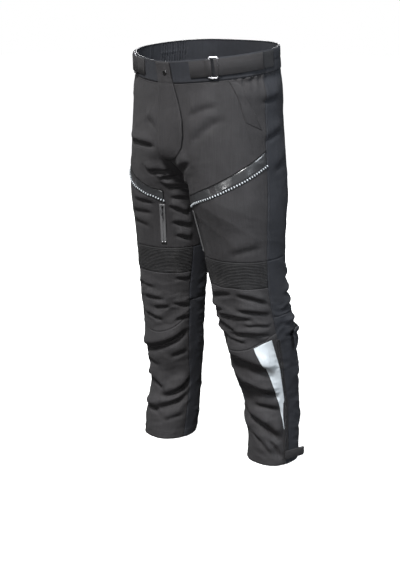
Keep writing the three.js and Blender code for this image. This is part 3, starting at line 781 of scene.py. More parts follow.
def make_materials(colours):
    """Every finish, from the colours in the panel."""
    GROUPS.update(weave=weave_group(), dust=dust_group(), ribs=rib_group(), scuffs=scuff_group())
    shell, dark, gloss, silver, tape = (tuple(getattr(colours, name)) for name in (
        "shell", "shell_dark", "gloss", "silver", "zip_tape"))
    woven("shell_charcoal", shell, shade(shell, 1.6), 1150.0, 0.62)
    woven("shell_dark", dark, shade(dark, 1.6), 1150.0, 0.6)
    woven("webbing", shade(shell, 0.92), shade(shell, 1.5), 620.0, 0.6, depth=0.0004)
    woven("zip_tape", tape, shade(tape, 1.5), 1500.0, 0.34, wear=0.2, depth=0.0001)
    # Near-black cord laid where the cloth shows only a dark gap: painted shadow along the fly flap's
    # edge and along the coated strip's upper seam.
    woven("edge_binding", (0.0035, 0.0036, 0.004), (0.008, 0.008, 0.009), 1500.0, 0.7, dust=0.05)
    woven("lining_mesh", (0.02, 0.02, 0.022), (0.035, 0.035, 0.035), 420.0, 0.75, depth=0.0006)
    woven("sewing_thread", shade(shell, 1.25), shade(shell, 2), 3000.0, 0.5)
    metal("bright_metal", (0.44, 0.44, 0.46), (0.24, 0.24, 0.25), 0.34)
    metal("gunmetal", (0.17, 0.17, 0.175), (0.04, 0.04, 0.04), 0.3)
    metal("zip_metal", (0.03, 0.03, 0.033), (0.16, 0.16, 0.16), 0.32, metallic=0.6)

    f = Finish("stretch_rib", Sheen_Weight=0.04, Sheen_Roughness=0.4, Specular_IOR_Level=0.3)
    knit = f.group("ribs", UV=f.uv, Loops=650.0, Colour=tuple(colours.rib))
    f.skin(knit["Colour"], f.ramp(f.noise(f.place, 60.0), -0.9, 1.2), 0.35)
    f.bump(knit["Height"], 0.0005, 0.7)

    f = Finish("gloss_coating", Coat_Weight=0.9, Coat_Roughness=0.2, Specular_IOR_Level=0.75)
    marks = f.group("scuffs", Place=f.place, Scale=60.0, Colour=gloss,
                    Dark_Colour=shade(gloss, 0.6), Roughness=0.30)
    f.skin(marks["Colour"], marks["Roughness"], 0.3)
    soft = f.bump(f.noise(f.place, 14.0, 1.0), 0.016, 0.6)
    f.bump(f.noise(f.place, 900.0, 2.0), 0.0003, 0.35, under=soft)

    f = Finish("reflective_silver", Metallic=0.1, Specular_IOR_Level=0.5)
    marks = f.group("scuffs", Place=f.place, Scale=35.0, Colour=silver,
                    Dark_Colour=shade(silver, 0.82), Roughness=0.42)
    f.skin(marks["Colour"], marks["Roughness"], 0.35, Dust_Colour=(0.45, 0.44, 0.42))
    soft = f.bump(f.noise(f.place, 70.0), 0.002, 0.4)
    f.bump(f.cells(f.place, 1500.0), 0.0002, 0.3, under=soft)

    f = Finish("hook_loop", Sheen_Weight=0.08, Sheen_Roughness=0.5, Specular_IOR_Level=0.2)
    fuzz = f.noise(f.place, 1600.0, 3.0, 0.7)
    # Colour darker where the fuzz is low, as the bump is: painted shade between the loops, over the
    # patch's own dark colour.
    loops = f.mix(f.ramp(fuzz, 0.42, 0.64), shade(dark, 0.25), shade(dark, 1.1))
    f.skin(loops, f.ramp(fuzz, -1.2, 0.9), 0.25)
    f.bump(f.plus(fuzz, f.cells(f.place, 700.0)), 0.0014, 0.9)

    f = Finish("armour_foam", Specular_IOR_Level=0.3)
    pores = f.cells(f.place, 260.0)
    # Colour darker at the pore centres, where the bump is lowest: painted shade in the pore hollows.
    f.skin(f.mix(pores, (0.05, 0.05, 0.055), (0.12, 0.12, 0.125)), f.ramp(pores, -1.0, 1.0), 0.5)
    f.bump(pores, 0.0008, 0.6)

    f = Finish("studio_floor", Specular_IOR_Level=0.2, Emission_Color=(1, 1, 1),
               Emission_Strength=0.42)
    tint = f.mix(f.noise(f.place, 1.5, 2.0), (0.86, 0.86, 0.865), (0.89, 0.89, 0.89))
    f.skin(tint, f.ramp(f.noise(f.place, 3.0), -1.5, 1.1))


# ---- seams and edges shared by the panels ------------------------------------------------------
def side_seam(level):
    """u of the seam between the front and the side panel."""
    return 0.486 - 0.024 * np.clip((-300 - level) / 190, 0, 1)


def fly_gap(level):
    """Half the fly opening in u, closed below the fly."""
    return 0.0145 * smooth((level + 224) / 16)


def knee_hem(u):
    """Level of the curved seam under the knee."""
    s = np.clip((u - INSEAM_U) / FRONT_U, 0, 1)
    return KNEE_SEAM - 39 * np.sin(np.pi * np.clip(1.02 * s, 0, 1)) ** 1.1


def under_knee(s):
    """The same seam at a share s of the front panel's width."""
    return knee_hem(INSEAM_U + FRONT_U * s)


def zip_gap(level, hem):
    """Half the opening round the calf zip, in u, closed again under it."""
    return 0.0055 * smooth((-624 - level) / 14) * smooth((level - hem - 12) / 4)


def calf_edge(level, hem):
    """u of the calf panel's front edge, which runs over to the calf zip within 40 mm."""
    seam = side_seam(CALF_TOP)
    return seam + (CALF_ZIP_U - seam) * smooth((CALF_TOP - level) / 40) + zip_gap(level, hem)


def band(t, start, end):
    return start + (end - start) * t


def outline(t, *stops):
    """Straight lines through (t, value) stops."""
    return np.interp(t, [s[0] for s in stops], [s[1] for s in stops])


def pipe_level(s):
    return -321 + 97 * s**1.08


def gloss_top(s):
    return pipe_level(s) + 25 + 5 * s


def welt_front(t):
    return 0.335 + 0.063 * t**0.8


def flap_end(t):
    """u of the flap's free edge down its length."""
    return outline(t, (0, 0.037), (0.2, 0.047), (0.45, 0.088), (0.68, 0.122), (0.86, 0.128),
                   (1, 0.118))


def flap_sink(u, level):
    """How far the flap's lower tip lies closer to the cloth than the rest of it."""
    return 3.2 * smooth((-level - 150) / 50) * smooth((u - 0.02) / 0.06)


def stitch_rows(name, side, body, lines):
    """Rows of stitches on the cloth, each along a path of u, level and height, as one piece."""
    sizes = bpy.context.scene.trouser_sizes
    stitch = capsule(sizes.stitch_length / MM, sizes.thread / 2 / MM)
    rows = []
    for u, level, off in lines:
        at, _, out = stations(side, u, level, off)
        rows.append(repeated("row", spaced(at, out, sizes.stitch_pitch / MM), stitch,
                             "sewing_thread"))
    done(join(name, rows), body, "shell_charcoal")


def hem_rise(side):
    """Turned-up hem: the last 20 mm stand 0.9 mm proud."""
    return lambda u, level: 0.9 * smooth((HEM[side] + 21 - level) / 1.5)


# ---- the settings ------------------------------------------------------------------------------
def length_property(name, text, default):
    return FloatProperty(name=name, description=text, default=default, unit="LENGTH")


def power_property(name, text, default):
    return FloatProperty(name=name, description="Power of the " + text, default=default,
                         unit="POWER")


def colour_property(name, text, default):
    return FloatVectorProperty(name=name, description=text, default=default, subtype="COLOR",
                               size=3, min=0.0, max=1.0)


class TrouserSizes(bpy.types.PropertyGroup):
    """Sizes that a maker would change."""
    cloth_step: length_property("Panel grid", "Spacing of a panel's points", 0.0034)
    cloth_thick: length_property("Cloth", "Thickness of the outer cloth", 0.0012)
    stitch_pitch: length_property("Stitch pitch", "From one stitch to the next", 0.0044)
    stitch_length: length_property("Stitch length", "Length of thread that shows", 0.0034)
    thread: length_property("Thread", "Diameter of the sewing thread", 0.0009)
    rib_pitch: length_property("Rib pitch", "From rib to rib of the knee band", 0.0035)
    dash_pitch: length_property("Dash pitch", "From dash to dash of the piping", 0.0064)


class TrouserColours(bpy.types.PropertyGroup):
    """Colours of the main finishes."""
    shell: colour_property("Shell", "Front panels", (0.0300, 0.0288, 0.0305))
    shell_dark: colour_property("Dark shell", "Side, seat and calf panels", (0.0225, 0.024, 0.029))
    rib: colour_property("Rib knit", "Stretch bands", (0.0135, 0.0132, 0.0140))
    gloss: colour_property("Gloss", "Coated strips", (0.030, 0.031, 0.033))
    silver: colour_property("Silver", "Reflective film and dashes", (0.53, 0.57, 0.60))
    zip_tape: colour_property("Zip tape", "Coated zip tape", (0.17, 0.17, 0.175))


class StudioSettings(bpy.types.PropertyGroup):
    """Lights round the trousers."""
    key: FloatProperty(name="Key light", description="Strength of the high front light",
                       default=2.7)
    softbox: power_property("Key softbox", "soft light beside the key", 118.0)
    front: power_property("Front softbox", "light in front", 12.0)
    low: power_property("Low softbox", "low light that the coating shows", 15.0)
    side: power_property("Side softbox", "light at the wearer's left", 58.0)
    fill: power_property("Fill", "light at the wearer's right", 12.0)
    top: power_property("Top softbox", "light above", 20.0)
    rear: power_property("Rear softbox", "light behind", 170.0)
    ambient: FloatProperty(name="Ambient", description="Strength of the light all round",
                           default=0.065)


# ---- operators -----------------------------------------------------------------------------------
class TROUSERS_OT_stage(bpy.types.Operator):
    """Finishes, camera, soft lights and a pale floor"""
    bl_idname = "trousers.stage"
    bl_label = "Stage"

    def execute(self, context):
        make_materials(context.scene.trouser_colours)
        scene, studio = context.scene, context.scene.trouser_studio
        camera = bpy.data.objects.new("camera", bpy.data.cameras.new("camera"))
        camera.location = (1.8073, -1.9581, 0.169)
        camera.rotation_euler = (math.radians(75.3), 0.0, math.radians(43.0))
        camera.data.lens, camera.data.sensor_width = 73.26, 36.0
        scene.collection.objects.link(camera)
        scene.camera = camera
        for name, place_, aim, size, strength in (
                ("key_light", (1.15, -2.45, 2.95), (0, 0, -0.4), 0.17, studio.key),
                ("key_softbox", (0.95, -2.05, 2.4), (0, 0, -0.2), 0.7, studio.softbox),
                ("front_softbox", (0.95, -2.95, 0.5), (0.05, 0, -0.3), 1.0, studio.front),
                ("low_softbox", (1.3, -2.5, -0.62), (0.1, 0, -0.3), 0.62, studio.low),
                ("side_softbox", (3.1, 0.5, 0.9), (0.1, 0, -0.5), 1.4, studio.side),
                ("top_softbox", (0.5, 0.8, 2.2), (0, 0, -0.3), 1.6, studio.top),
                ("rear_softbox", (-2.3, 2.7, 1.5), (0, 0, -0.4), 1.8, studio.rear),
                ("far_side_softbox", (-3.2, -0.6, 0.9), (0, 0, -0.5), 1.4, studio.fill)):
            lamp = bpy.data.lights.new(name, "SUN" if name == "key_light" else "AREA")
            lamp.energy = strength
            if name == "side_softbox":
                lamp.color = SKY_TINT
            if name == "key_light":
                lamp.angle = size
            else:
                lamp.shape, lamp.size = "DISK", size
            light = bpy.data.objects.new(name, lamp)
            light.location = place_
            turn = (Vector(aim) - Vector(place_)).to_track_quat("-Z", "Y")
            light.rotation_euler = turn.to_euler()
            scene.collection.objects.link(light)
        x, y = np.meshgrid(*[np.linspace(-14, 14, 3) / MM] * 2)
        points = np.stack([x, y, 0 * x + FLOOR_LEVEL], -1).reshape(-1, 3)
        floor = new_piece("studio_floor", points, grid_faces(3, 3), "studio_floor", flip=True)
        floor.visible_diffuse = False
        floor.visible_glossy = False
        scene.world = bpy.data.worlds.new("studio")
        scene.world.use_nodes = True
        g = Nodes(scene.world.node_tree)
        white = (1, 1, 1)
        lit = g.add("Background", {"Color": white, "Strength": studio.ambient})
        seen = g.add("Background", {"Color": white, "Strength": 1.0})
        ray = g.add("LightPath", {}, "Is Camera Ray")
        mixed = g.add("MixShader", {0: ray, 1: lit, 2: seen})
        g.feed(g.tree.nodes["World Output"].inputs["Surface"], mixed)
        scene.view_settings.view_transform = "Standard"
        return {"FINISHED"}


def waist_rise(u, level):
    """Elastic sides of the waistband: upright puckers 6.5 mm apart over u 0.53 to 0.67, on both
    sides, and a stitched channel along the middle."""
    folded = np.where(u > 1, 2 - u, u)
    share = smooth((folded - 0.535) / 0.015) * smooth((0.665 - folded) / 0.015)
    ripple = np.sin(2 * np.pi * folded * 590 / 6.5 + 0.6 * np.sin(level / 9))
    return share * (1.25 * ripple - 0.8 * np.exp(-(((level + 24) / 2.2) ** 2)))


class TROUSERS_OT_waistband(bpy.types.Operator):
    """Waistband in three parts, with elastic sides"""
    bl_idname = "trousers.waistband"
    bl_label = "Waistband"

    def execute(self, context):
        for side in SIDES:
            sewn(f"waistband_front_{side}", side, "shell_dark", 0.002, 0.5, 0.0, -WAISTBAND,
                 slot="shell_charcoal", off=1.0, thick=2.5)
        sewn("waistband_back", "left", "shell_dark", 0.5, 1.5, 0.0, -WAISTBAND, off=1.0,
             thick=2.5, step=1.6, rise=waist_rise)
        return {"FINISHED"}


def gathers(u, level):
    """Cloth drawn up under the strap and the elastic: upright puckers that fade 30 mm below the
    waistband."""
    fade = np.exp(-(((level + WAISTBAND) / 17) ** 2))
    front = smooth((u - 0.34) / 0.05) * smooth((0.52 - u) / 0.04) * np.sin(u * 2 * np.pi / 0.034)
    back = smooth((u - 0.52) / 0.03) * smooth((0.72 - u) / 0.05) * np.sin(u * 2 * np.pi / 0.0205)
    return fade * (2.6 * front + 1.7 * back)


class TROUSERS_OT_upper_panels(bpy.types.Operator):
    """Front thigh, side and seat panels"""
    bl_idname = "trousers.upper_panels"
    bl_label = "Upper panels"

    def execute(self, context):
        top, low = -WAISTBAND - 0.2, BAND_TOP
        seam = lambda t: side_seam(band(t, top, low))
        for side in SIDES:
            for name, start, end, finish in (
                    ("front_thigh", lambda t: fly_gap(band(t, top, low)), seam, "shell_charcoal"),
                    ("side_panel", seam, SEAT_U, "shell_dark"),
                    ("seat", SEAT_U, 1.0, "shell_dark")):
                sewn(f"{name}_{side}", side, finish, start, end, top, low, rise=gathers)
        return {"FINISHED"}


def knee_ribs(u, level, pitch):
    """Stretch band: rows of ribs along the band with flattened troughs, tapered at its ends, and
    a sewn column near the side seam."""
    wave = np.cos(2 * np.pi * (level - BAND_TOP) / pitch + 0.35 * np.sin(u * 90))
    ends = smooth((BAND_TOP - 3 - level) / 3) * smooth((level - BAND_BOTTOM - 3) / 3)
    column = np.exp(-(((u - 0.435) / 0.0025) ** 2)) + np.exp(-(((u - 0.448) / 0.002) ** 2))
    return ends * (0.7 * power(wave, 0.7) - column)


def knee_band_piece(side):
    """The ribbed band on a grid fine enough for its ribs: eight rows to a rib."""
    pitch = bpy.context.scene.trouser_sizes.rib_pitch / MM
    tall = BAND_TOP - BAND_BOTTOM
    s, t = np.meshgrid(np.linspace(0, 1, 110), np.linspace(0, 1, int(tall / pitch * 8) + 1))
    level = band(t, BAND_TOP, BAND_BOTTOM)
    u = INSEAM_U + (side_seam(level) - INSEAM_U) * s
    turn = float(girth(side, 0.5 * (BAND_TOP + BAND_BOTTOM))[0])
    edge = np.minimum(np.minimum(s, 1 - s) * FRONT_U * turn, np.minimum(t, 1 - t) * tall)
    height = 0.5 - 1.6 * np.exp(-((edge / EDGE_TURN) ** 2)) + knee_ribs(u, level, pitch)
    uv = np.stack([u * turn, level], -1).reshape(-1, 2) * MM
    piece = new_piece(f"visual_knee_band_{side}", cloth(side, u, level, height).reshape(-1, 3),
                      grid_faces(*u.shape), "stretch_rib", uv, flip=side == "right")
    return thicken(piece, 1.4)


class TROUSERS_OT_knees(bpy.types.Operator):
    """Ribbed band, gusset and front knee panel"""
    bl_idname = "trousers.knees"
    bl_label = "Knees"

    def execute(self, context):
        for side in SIDES:
            knee = ("knee", side)
            done(knee_band_piece(side), knee, "stretch_rib", f"knee_band_{side}")
            sewn(f"knee_gusset_{side}", side, "shell_dark",
                 lambda t: side_seam(band(t, BAND_TOP, CALF_TOP)), 1 + INSEAM_U, BAND_TOP,
                 CALF_TOP, body=knee)
            sewn(f"knee_panel_{side}", side, "shell_charcoal", INSEAM_U,
                 lambda t: 0.462 - 0.002 * t, BAND_BOTTOM, under_knee, body=knee)
        return {"FINISHED"}


class TROUSERS_OT_lower_panels(bpy.types.Operator):
    """Shin and calf panels with turned-up hems, and the tab behind the calf"""
    bl_idname = "trousers.lower_panels"
    bl_label = "Lower panels"

    def execute(self, context):
        for side in SIDES:
            hem = HEM[side]
            sewn(f"shin_panel_{side}", side, "shell_charcoal", INSEAM_U,
                 lambda t: CALF_ZIP_U - zip_gap(band(t, KNEE_SEAM, hem), hem), under_knee, hem,
                 body=f"shin_{side}", rise=hem_rise(side))
            sewn(f"calf_panel_{side}", side, "shell_dark",
                 lambda t: calf_edge(band(t, CALF_TOP, hem), hem), 1 + INSEAM_U, CALF_TOP, hem,
                 body=("knee", side), rise=hem_rise(side))
            sewn(f"calf_tab_{side}", side, "shell_dark", 0.535, lambda t: 0.66 - 0.015 * t,
                 KNEE_SEAM, lambda s: -664 + 24 * s, body=f"shin_{side}", thick=1.4, roll=0.8,
                 step=2.5, rise=lambda u, level: 10.4 - 6.8 * np.clip((u - 0.535) / 0.12, 0, 1))
        return {"FINISHED"}


class TROUSERS_OT_linings(bpy.types.Operator):
    """Mesh lining inside the seat and thighs, and inside the lower legs"""
    bl_idname = "trousers.linings"
    bl_label = "Linings"

    def execute(self, context):
        behind_fly = lambda t: 0.003 + 0.03 * smooth((0.42 - t) / 0.03)
        for side in SIDES:
            for name, *extent, body in (
                    ("lining_upper", behind_fly, 0.997, -60.0, -433.0, "trousers_upper"),
                    ("lining_lower", 0.0, 1.0, -662.0, HEM[side] + 18, f"shin_{side}")):
                sewn(f"{name}_{side}", side, "lining_mesh", *extent, body=body, slot="mesh",
                     off=-6.0, thick=0.6, roll=0.0, step=7.0)
        return {"FINISHED"}


class TROUSERS_OT_knee_armour(bpy.types.Operator):
    """Foam protectors in the pockets behind the knee panels"""
    bl_idname = "trousers.knee_armour"
    bl_label = "Knee armour"

    def execute(self, context):
        for side in SIDES:
            u, level, edge, _ = panel_grid(side, 0.1, 0.4, -512.0, -652.0, 3.0)
            ridge = 0.8 * np.cos(2 * np.pi * level / 16) * smooth(edge / 12)
            rim = np.exp(-((edge / 5) ** 2))
            walls = [cloth(side, u, level, height).reshape(-1, 3)
                     for height in (-3.6 - 7.0 * rim + ridge, -13.6 + 2.0 * rim)]
            rows, cols = u.shape
            quads, n = grid_faces(rows, cols), rows * cols
            ring = np.concatenate([np.arange(cols), np.arange(2, rows + 1) * cols - 1,
                                   np.arange(n - 2, n - cols - 1, -1),
                                   np.arange(rows - 2, 0, -1) * cols])
            after = np.roll(ring, -1)
            faces = np.concatenate([quads, quads[:, ::-1] + n,
                                    np.stack([ring, after, after + n, ring + n], -1)])
            points = np.concatenate(walls)
            turned = volume(points, [tuple(f) for f in faces]) < 0
            piece = new_piece(f"visual_knee_armour_{side}", points, faces, "armour_foam",
                              flip=turned)
            done(piece, ("knee", side), "foam", f"knee_armour_{side}")
        return {"FINISHED"}


class TROUSERS_OT_gloss_trim(bpy.types.Operator):
    """Coated strip across each thigh, a painted shadow line along its upper edge, and the dashed
    piping under it
    """
    bl_idname = "trousers.gloss_trim"
    bl_label = "Gloss trim"

    def execute(self, context):
        pitch = context.scene.trouser_sizes.dash_pitch / MM
        s, short = np.linspace(0, 1, 150), np.linspace(0, 1, 20)
        waves = lambda u, level: 1.1 * np.sin(u * 44 + level / 37) * np.sin(u * 17 + level / 29)
        for side in SIDES:
            sewn(f"gloss_panel_{side}", side, "gloss_coating", 0.158, 0.484, gloss_top,
                 lambda s: pipe_level(s) + 2.4, off=0.9, thick=1.2, roll=1.7, step=2.2, rise=waves)
            # A thin near-black cord up the strip's inner end and along its upper edge: painted shadow
            # of the seam, where the cloth above overlaps the strip.
            u = np.concatenate([0 * short, 0.326 * s]) + 0.158
            level = np.concatenate([band(short, pipe_level(0) + 3.0, gloss_top(0)), gloss_top(s)])
            line = sweep(f"visual_gloss_edge_shadow_{side}", *stations(side, u, level, 0.7),
                         box_of(1.3, 0.5, 0.3), "edge_binding")
            done(line, "trousers_upper", "shell_dark")
            at, across, out = stations(side, 0.154 + 0.334 * s, pipe_level(s), 1.4)
            cord = sweep(f"visual_piping_cord_{side}", at, across, out, oval(1.9, 1.5, 12),
                         "shell_dark")
            done(cord, "trousers_upper", "shell_dark")
            dashes = repeated(f"visual_piping_dashes_{side}", spaced(at + out * 0.35, out, pitch),
                              capsule(0.64 * pitch, 2.5, 10), "reflective_silver")
            done(dashes, "trousers_upper", "reflective_silver", f"thigh_piping_{side}")
        return {"FINISHED"}


class TROUSERS_OT_wedges(bpy.types.Operator):
    """Reflective wedge down each shin"""
    bl_idname = "trousers.wedges"
    bl_label = "Reflective wedges"

    def execute(self, context):
        for side in SIDES:
            sewn(f"reflective_wedge_{side}", side, "reflective_silver",
                 lambda t: outline(t, (0, 0.336), (0.32, 0.388), (0.65, 0.416), (0.85, 0.432),
                                   (1, 0.45)),
                 lambda t: outline(t, (0, 0.428), (0.32, 0.4505), (1, 0.454)),
                 lambda s: -643 + 17 * s, -884.0, body=f"shin_{side}", off=0.55, thick=0.5,
                 roll=0.35, step=2.4)
        return {"FINISHED"}


class TROUSERS_OT_pockets(bpy.types.Operator):
    """Slanting pocket welts on the hips"""
    bl_idname = "trousers.pockets"
    bl_label = "Pocket welts"

    def execute(self, context):
        for side in SIDES:
            sewn(f"pocket_welt_{side}", side, "shell_charcoal", welt_front,
                 lambda t: 0.382 + 0.09 * t, lambda s: -50.0 - 8 * s, lambda s: -136 - 20 * s,
                 off=1.3, thick=1.2, roll=1.1, step=2.6,
                 rise=lambda u, level: 0.5 * np.sin(level / 7 + u * 30))
        return {"FINISHED"}


def toothed_zip(node, at, across, out, tape, chain, pitch, body, finish="zip_tape", sunk=0.0):
    """Two tapes with turned edges and a row of teeth on each, set half a pitch apart and sunk mm
    under the tape."""
    half = np.array([(-tape, 0.0), (-tape, 0.5), (-tape * 0.62, 0.95), (-chain * 0.5, 1.0),
                     (-0.25, 0.8), (-0.25, 0.0)])
    tapes = [sweep("tape", at, across, out, p, finish) for p in (half, half[::-1] * [-1, 1])]
    done(join(f"visual_{node}", tapes), body, "zip_tape", node)
    tooth = block(chain * 0.62, pitch * 0.62, 1.0)
    rows = [repeated("row", spaced(at + across * k * chain * 0.21 + out * (0.85 - sunk), out,
                                   pitch, shift), tooth, "zip_metal")
            for k, shift in ((-1, 0.25), (1, 0.75))]
    done(join(f"visual_{node}_teeth", rows), body, "zip_metal")


def zip_slider(node, at, across, out, down, long, wide, base):
    """Zip slider: a waisted block, wider at its top, with a bridge over it."""
    t, a = np.linspace(0, 1, 13), np.linspace(0, np.pi, 11)
    swell = np.sin(np.pi * np.clip(t, 0.04, 0.96)) ** 0.3
    rows = loft_rows(wide * swell * (1 - 0.22 * smooth(t / 0.9)), 1.5 * swell, base)
    plate = sweep("plate", at + np.outer(t * long, down), np.tile(across, (13, 1)),
                  np.tile(out, (13, 1)), rows, "zip_metal")
    arch = (at + np.outer(long * (0.5 - 0.36 * np.cos(a)), down)
            + np.outer(base + 1.1 + 1.25 * np.sin(a), out))
    level = np.tile(across, (11, 1))
    outs = unit(np.cross(level, unit(np.gradient(arch, axis=0))))
    bridge = sweep("bridge", arch, level, outs, oval(0.85, 0.4, 8), "zip_metal")
    done(join(f"visual_{node}", [plate, bridge]), node, "zip_metal", node)


def zip_pull(node, at, across, out, long, wide):
    """Zip pull: a waisted plate that hangs from a short eye."""
    t = np.linspace(0, 1, 17)
    bulge = lambda middle, spread: np.exp(-(((t - middle) / spread) ** 2))
    widths = wide * (0.62 + 0.38 * smooth((t - 0.25) / 0.3)) * np.sin(
        np.pi * np.clip(t, 0.05, 0.95)) ** 0.25
    rows = loft_rows(widths, 1.2 + 0.5 * bulge(0.06, 0.07) + 0.25 * bulge(0.9, 0.1), -0.6)
    piece = sweep(f"visual_{node}", at + np.outer(0.5 - t * long, UP), np.tile(across, (17, 1)),
                  np.tile(out, (17, 1)), rows, "zip_metal")
    done(piece, node, "bright_metal", node)


def revolved(name, centre, out, profile, finish):
    """Round part: a profile of (radius, height) turned about the outward direction."""
    level = unit(np.cross(out, UP))
    turned = oval(1, 1, 32)
    ring = turned[:, :1] * level + turned[:, 1:] * np.cross(level, out)
    profile = np.asarray(profile, float)[:, None]
    return tube(name, centre + profile[..., :1] * ring + profile[..., 1:] * out, finish)


class TROUSERS_OT_fly(bpy.types.Operator):
    """Fly zip, its slider, the flap over it, and the snap at the waistband"""
    bl_idname = "trousers.fly"
    bl_label = "Fly"

    def execute(self, context):
        at, across, out, down = straight("left", 0.0, -51.0, FLY_BOTTOM, -6.2, 40)
        toothed_zip("fly_zip", at, across, out, 13.0, 5.0, 2.2, "trousers_upper")
        zip_slider("fly_slider", at[0] + down * 3, across[0], out[0], down, 11.0, 8.0, 1.4)
        hem_crease = lambda level: 0.9 * np.exp(-(((level + WAISTBAND) / 1.6) ** 2))
        sewn("fly_flap", "left", "shell_charcoal", lambda t: -0.062 + 0.035 * t, flap_end, -1.0,
             lambda s: -214 + 30 * s**4, body="fly_flap", thick=1.5, roll=1.5, step=2.6,
             rise=lambda u, level: 4.8 - hem_crease(level) - flap_sink(u, level))
        # A near-black cord along the flap's free edge and round its lower tip: painted shadow of the
        # gap under the flap's edge.
        t, s = np.linspace(0.012, 1, 120), np.linspace(0.985, 0.12, 60)
        u = np.concatenate([flap_end(t) + 0.0010, -0.027 + 0.145 * s])
        level = np.concatenate([band(t, -1.0, -184.4), -214.6 + 30 * s**4])
        gap_shade = sweep("visual_flap_painted_shadow", *stations("left", u, level, 3.5 - flap_sink(u, level)),
                      box_of(1.3, 0.8, 0.5), "edge_binding")
        done(gap_shade, "fly_flap", "shell_charcoal")
        cap = [(0.2, 0), (0.9, 0), (1.0, 0.35), (1.0, 0.75), (0.93, 1.15), (0.8, 1.35),
               (0.62, 1.2), (0.5, 1.05), (0.3, 1.15), (0.05, 1.2)]
        stud = [(0.2, 0), (1.0, 0), (1.0, 0.3), (0.8, 0.4), (0.5, 0.4), (0.42, 0.6),
                (0.46, 0.85), (0.36, 1.0), (0.05, 1.0)]
        for name, shape, u, radius, base, body in (
                ("snap_cap", cap, 0.004, 5.6, 5.2, "fly_flap"),
                ("snap_stud", stud, 0.024, 5.0, 1.1, "trousers_upper")):
            piece = revolved(f"visual_{name}", surface("left", u, SNAP_LEVEL),
                             normal("left", u, SNAP_LEVEL),
                             [(r * radius, base + h) for r, h in shape], "gunmetal")
            done(piece, body, "bright_metal", name)
        return {"FINISHED"}


class TROUSERS_OT_thigh_zips(bpy.types.Operator):
    """Vent zip down each thigh, with slider, pull and end stops"""
    bl_idname = "trousers.thigh_zips"
    bl_label = "Thigh zips"

    def execute(self, context):
        for side in SIDES:
            at, across, out, down = straight(side, THIGH_ZIP_U, *THIGH_ZIP, 2.2, 30)
            at = at - out * 0.6
            toothed_zip(f"thigh_zip_{side}", at, across, out, 6.5, 3.0, 1.8, "trousers_upper",
                        sunk=1.5)
            a0, o0 = across[0], out[0]
            zip_slider(f"thigh_slider_{side}", at[0] + down, a0, o0, down, 10.0, 7.5, 1.2)
            low, high = (np.array(v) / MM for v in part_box(f"thigh_pull_{side}"))
            top = np.array([(low[0] + high[0]) / 2, (low[1] + high[1]) / 2, high[2]])
            zip_pull(f"thigh_pull_{side}", top, unit(np.cross(o0, UP)), o0, 22.0, 4.6)
            ends = at[-1] - down * 3.0 + o0 * 0.9 + a0 * np.array([[-3.2], [3.2]])
            frames = (ends, *(np.tile(v, (2, 1)) for v in (a0, down, o0)))
            stops = repeated(f"visual_thigh_zip_stops_{side}", frames, capsule(3.2, 1.5, 10, 0.8),
                             "bright_metal")
            done(stops, "trousers_upper", "bright_metal")
        return {"FINISHED"}


class TROUSERS_OT_calf_zips(bpy.types.Operator):
    """Zip from below the knee to the hem, and its slider"""
    bl_idname = "trousers.calf_zips"
    bl_label = "Calf zips"

    def execute(self, context):
        for side in SIDES:
            level = np.linspace(-628, -780, 40)
            low, across2, out2, down = straight(side, CALF_ZIP_U, CALF_ZIP_STRAIGHT,
                                                HEM[side] + 14, -0.4, 40)
            at = np.concatenate([cloth(side, CALF_ZIP_U, level, -1.4), low])
            out = np.concatenate([normal(side, CALF_ZIP_U, level), out2])
            forward = unit(np.gradient(at, axis=0))
            across = unit(np.cross(forward, out))
            toothed_zip(f"calf_zip_{side}", at, across, np.cross(across, forward), 7.5, 4.0, 2.0,
                        f"shin_{side}", "webbing")
            zip_slider(f"calf_slider_{side}", low[-1] - down * 14, across2[0], out2[0], down,
                       11.0, 7.5, 0.9)
        return {"FINISHED"}


def strap(name, side, u0, u1, off, body, stands=True, thick=1.4, fold=-1, start=0.0):
    """Flat webbing along the waistband from u0 to u1. With fold -1 or 1, the strap rises over the
    wire of the ring near its start or end, start mm before the piece begins, and is doubled
    there: height = off + 3 exp(-(distance / 12)^4)."""
    u = np.linspace(u0, u1, 60)
    at, out = cloth(side, u, RING_LEVEL), normal(side, u, RING_LEVEL)
    forward = unit(np.gradient(at, axis=0))
    run = arc_length(at)
    near = start + run if fold < 0 else run[-1] - run
    high = off + (3.0 if fold < 0 else 4.1) * np.exp(-((near / 12) ** 4))
    flat = np.array(box_of(17.8, thick / 2, 0.45))
    profile = np.tile(flat, (60, 1, 1))
    profile[:, flat[:, 1] < 0, 1] -= (2.6 * np.exp(-((near / 11) ** 4)))[:, None]
    piece = sweep(f"visual_{name}", at + out * high[:, None], np.cross(forward, out), out, profile,
                  "webbing")
    done(piece, body, "webbing", *([name] if stands else []))


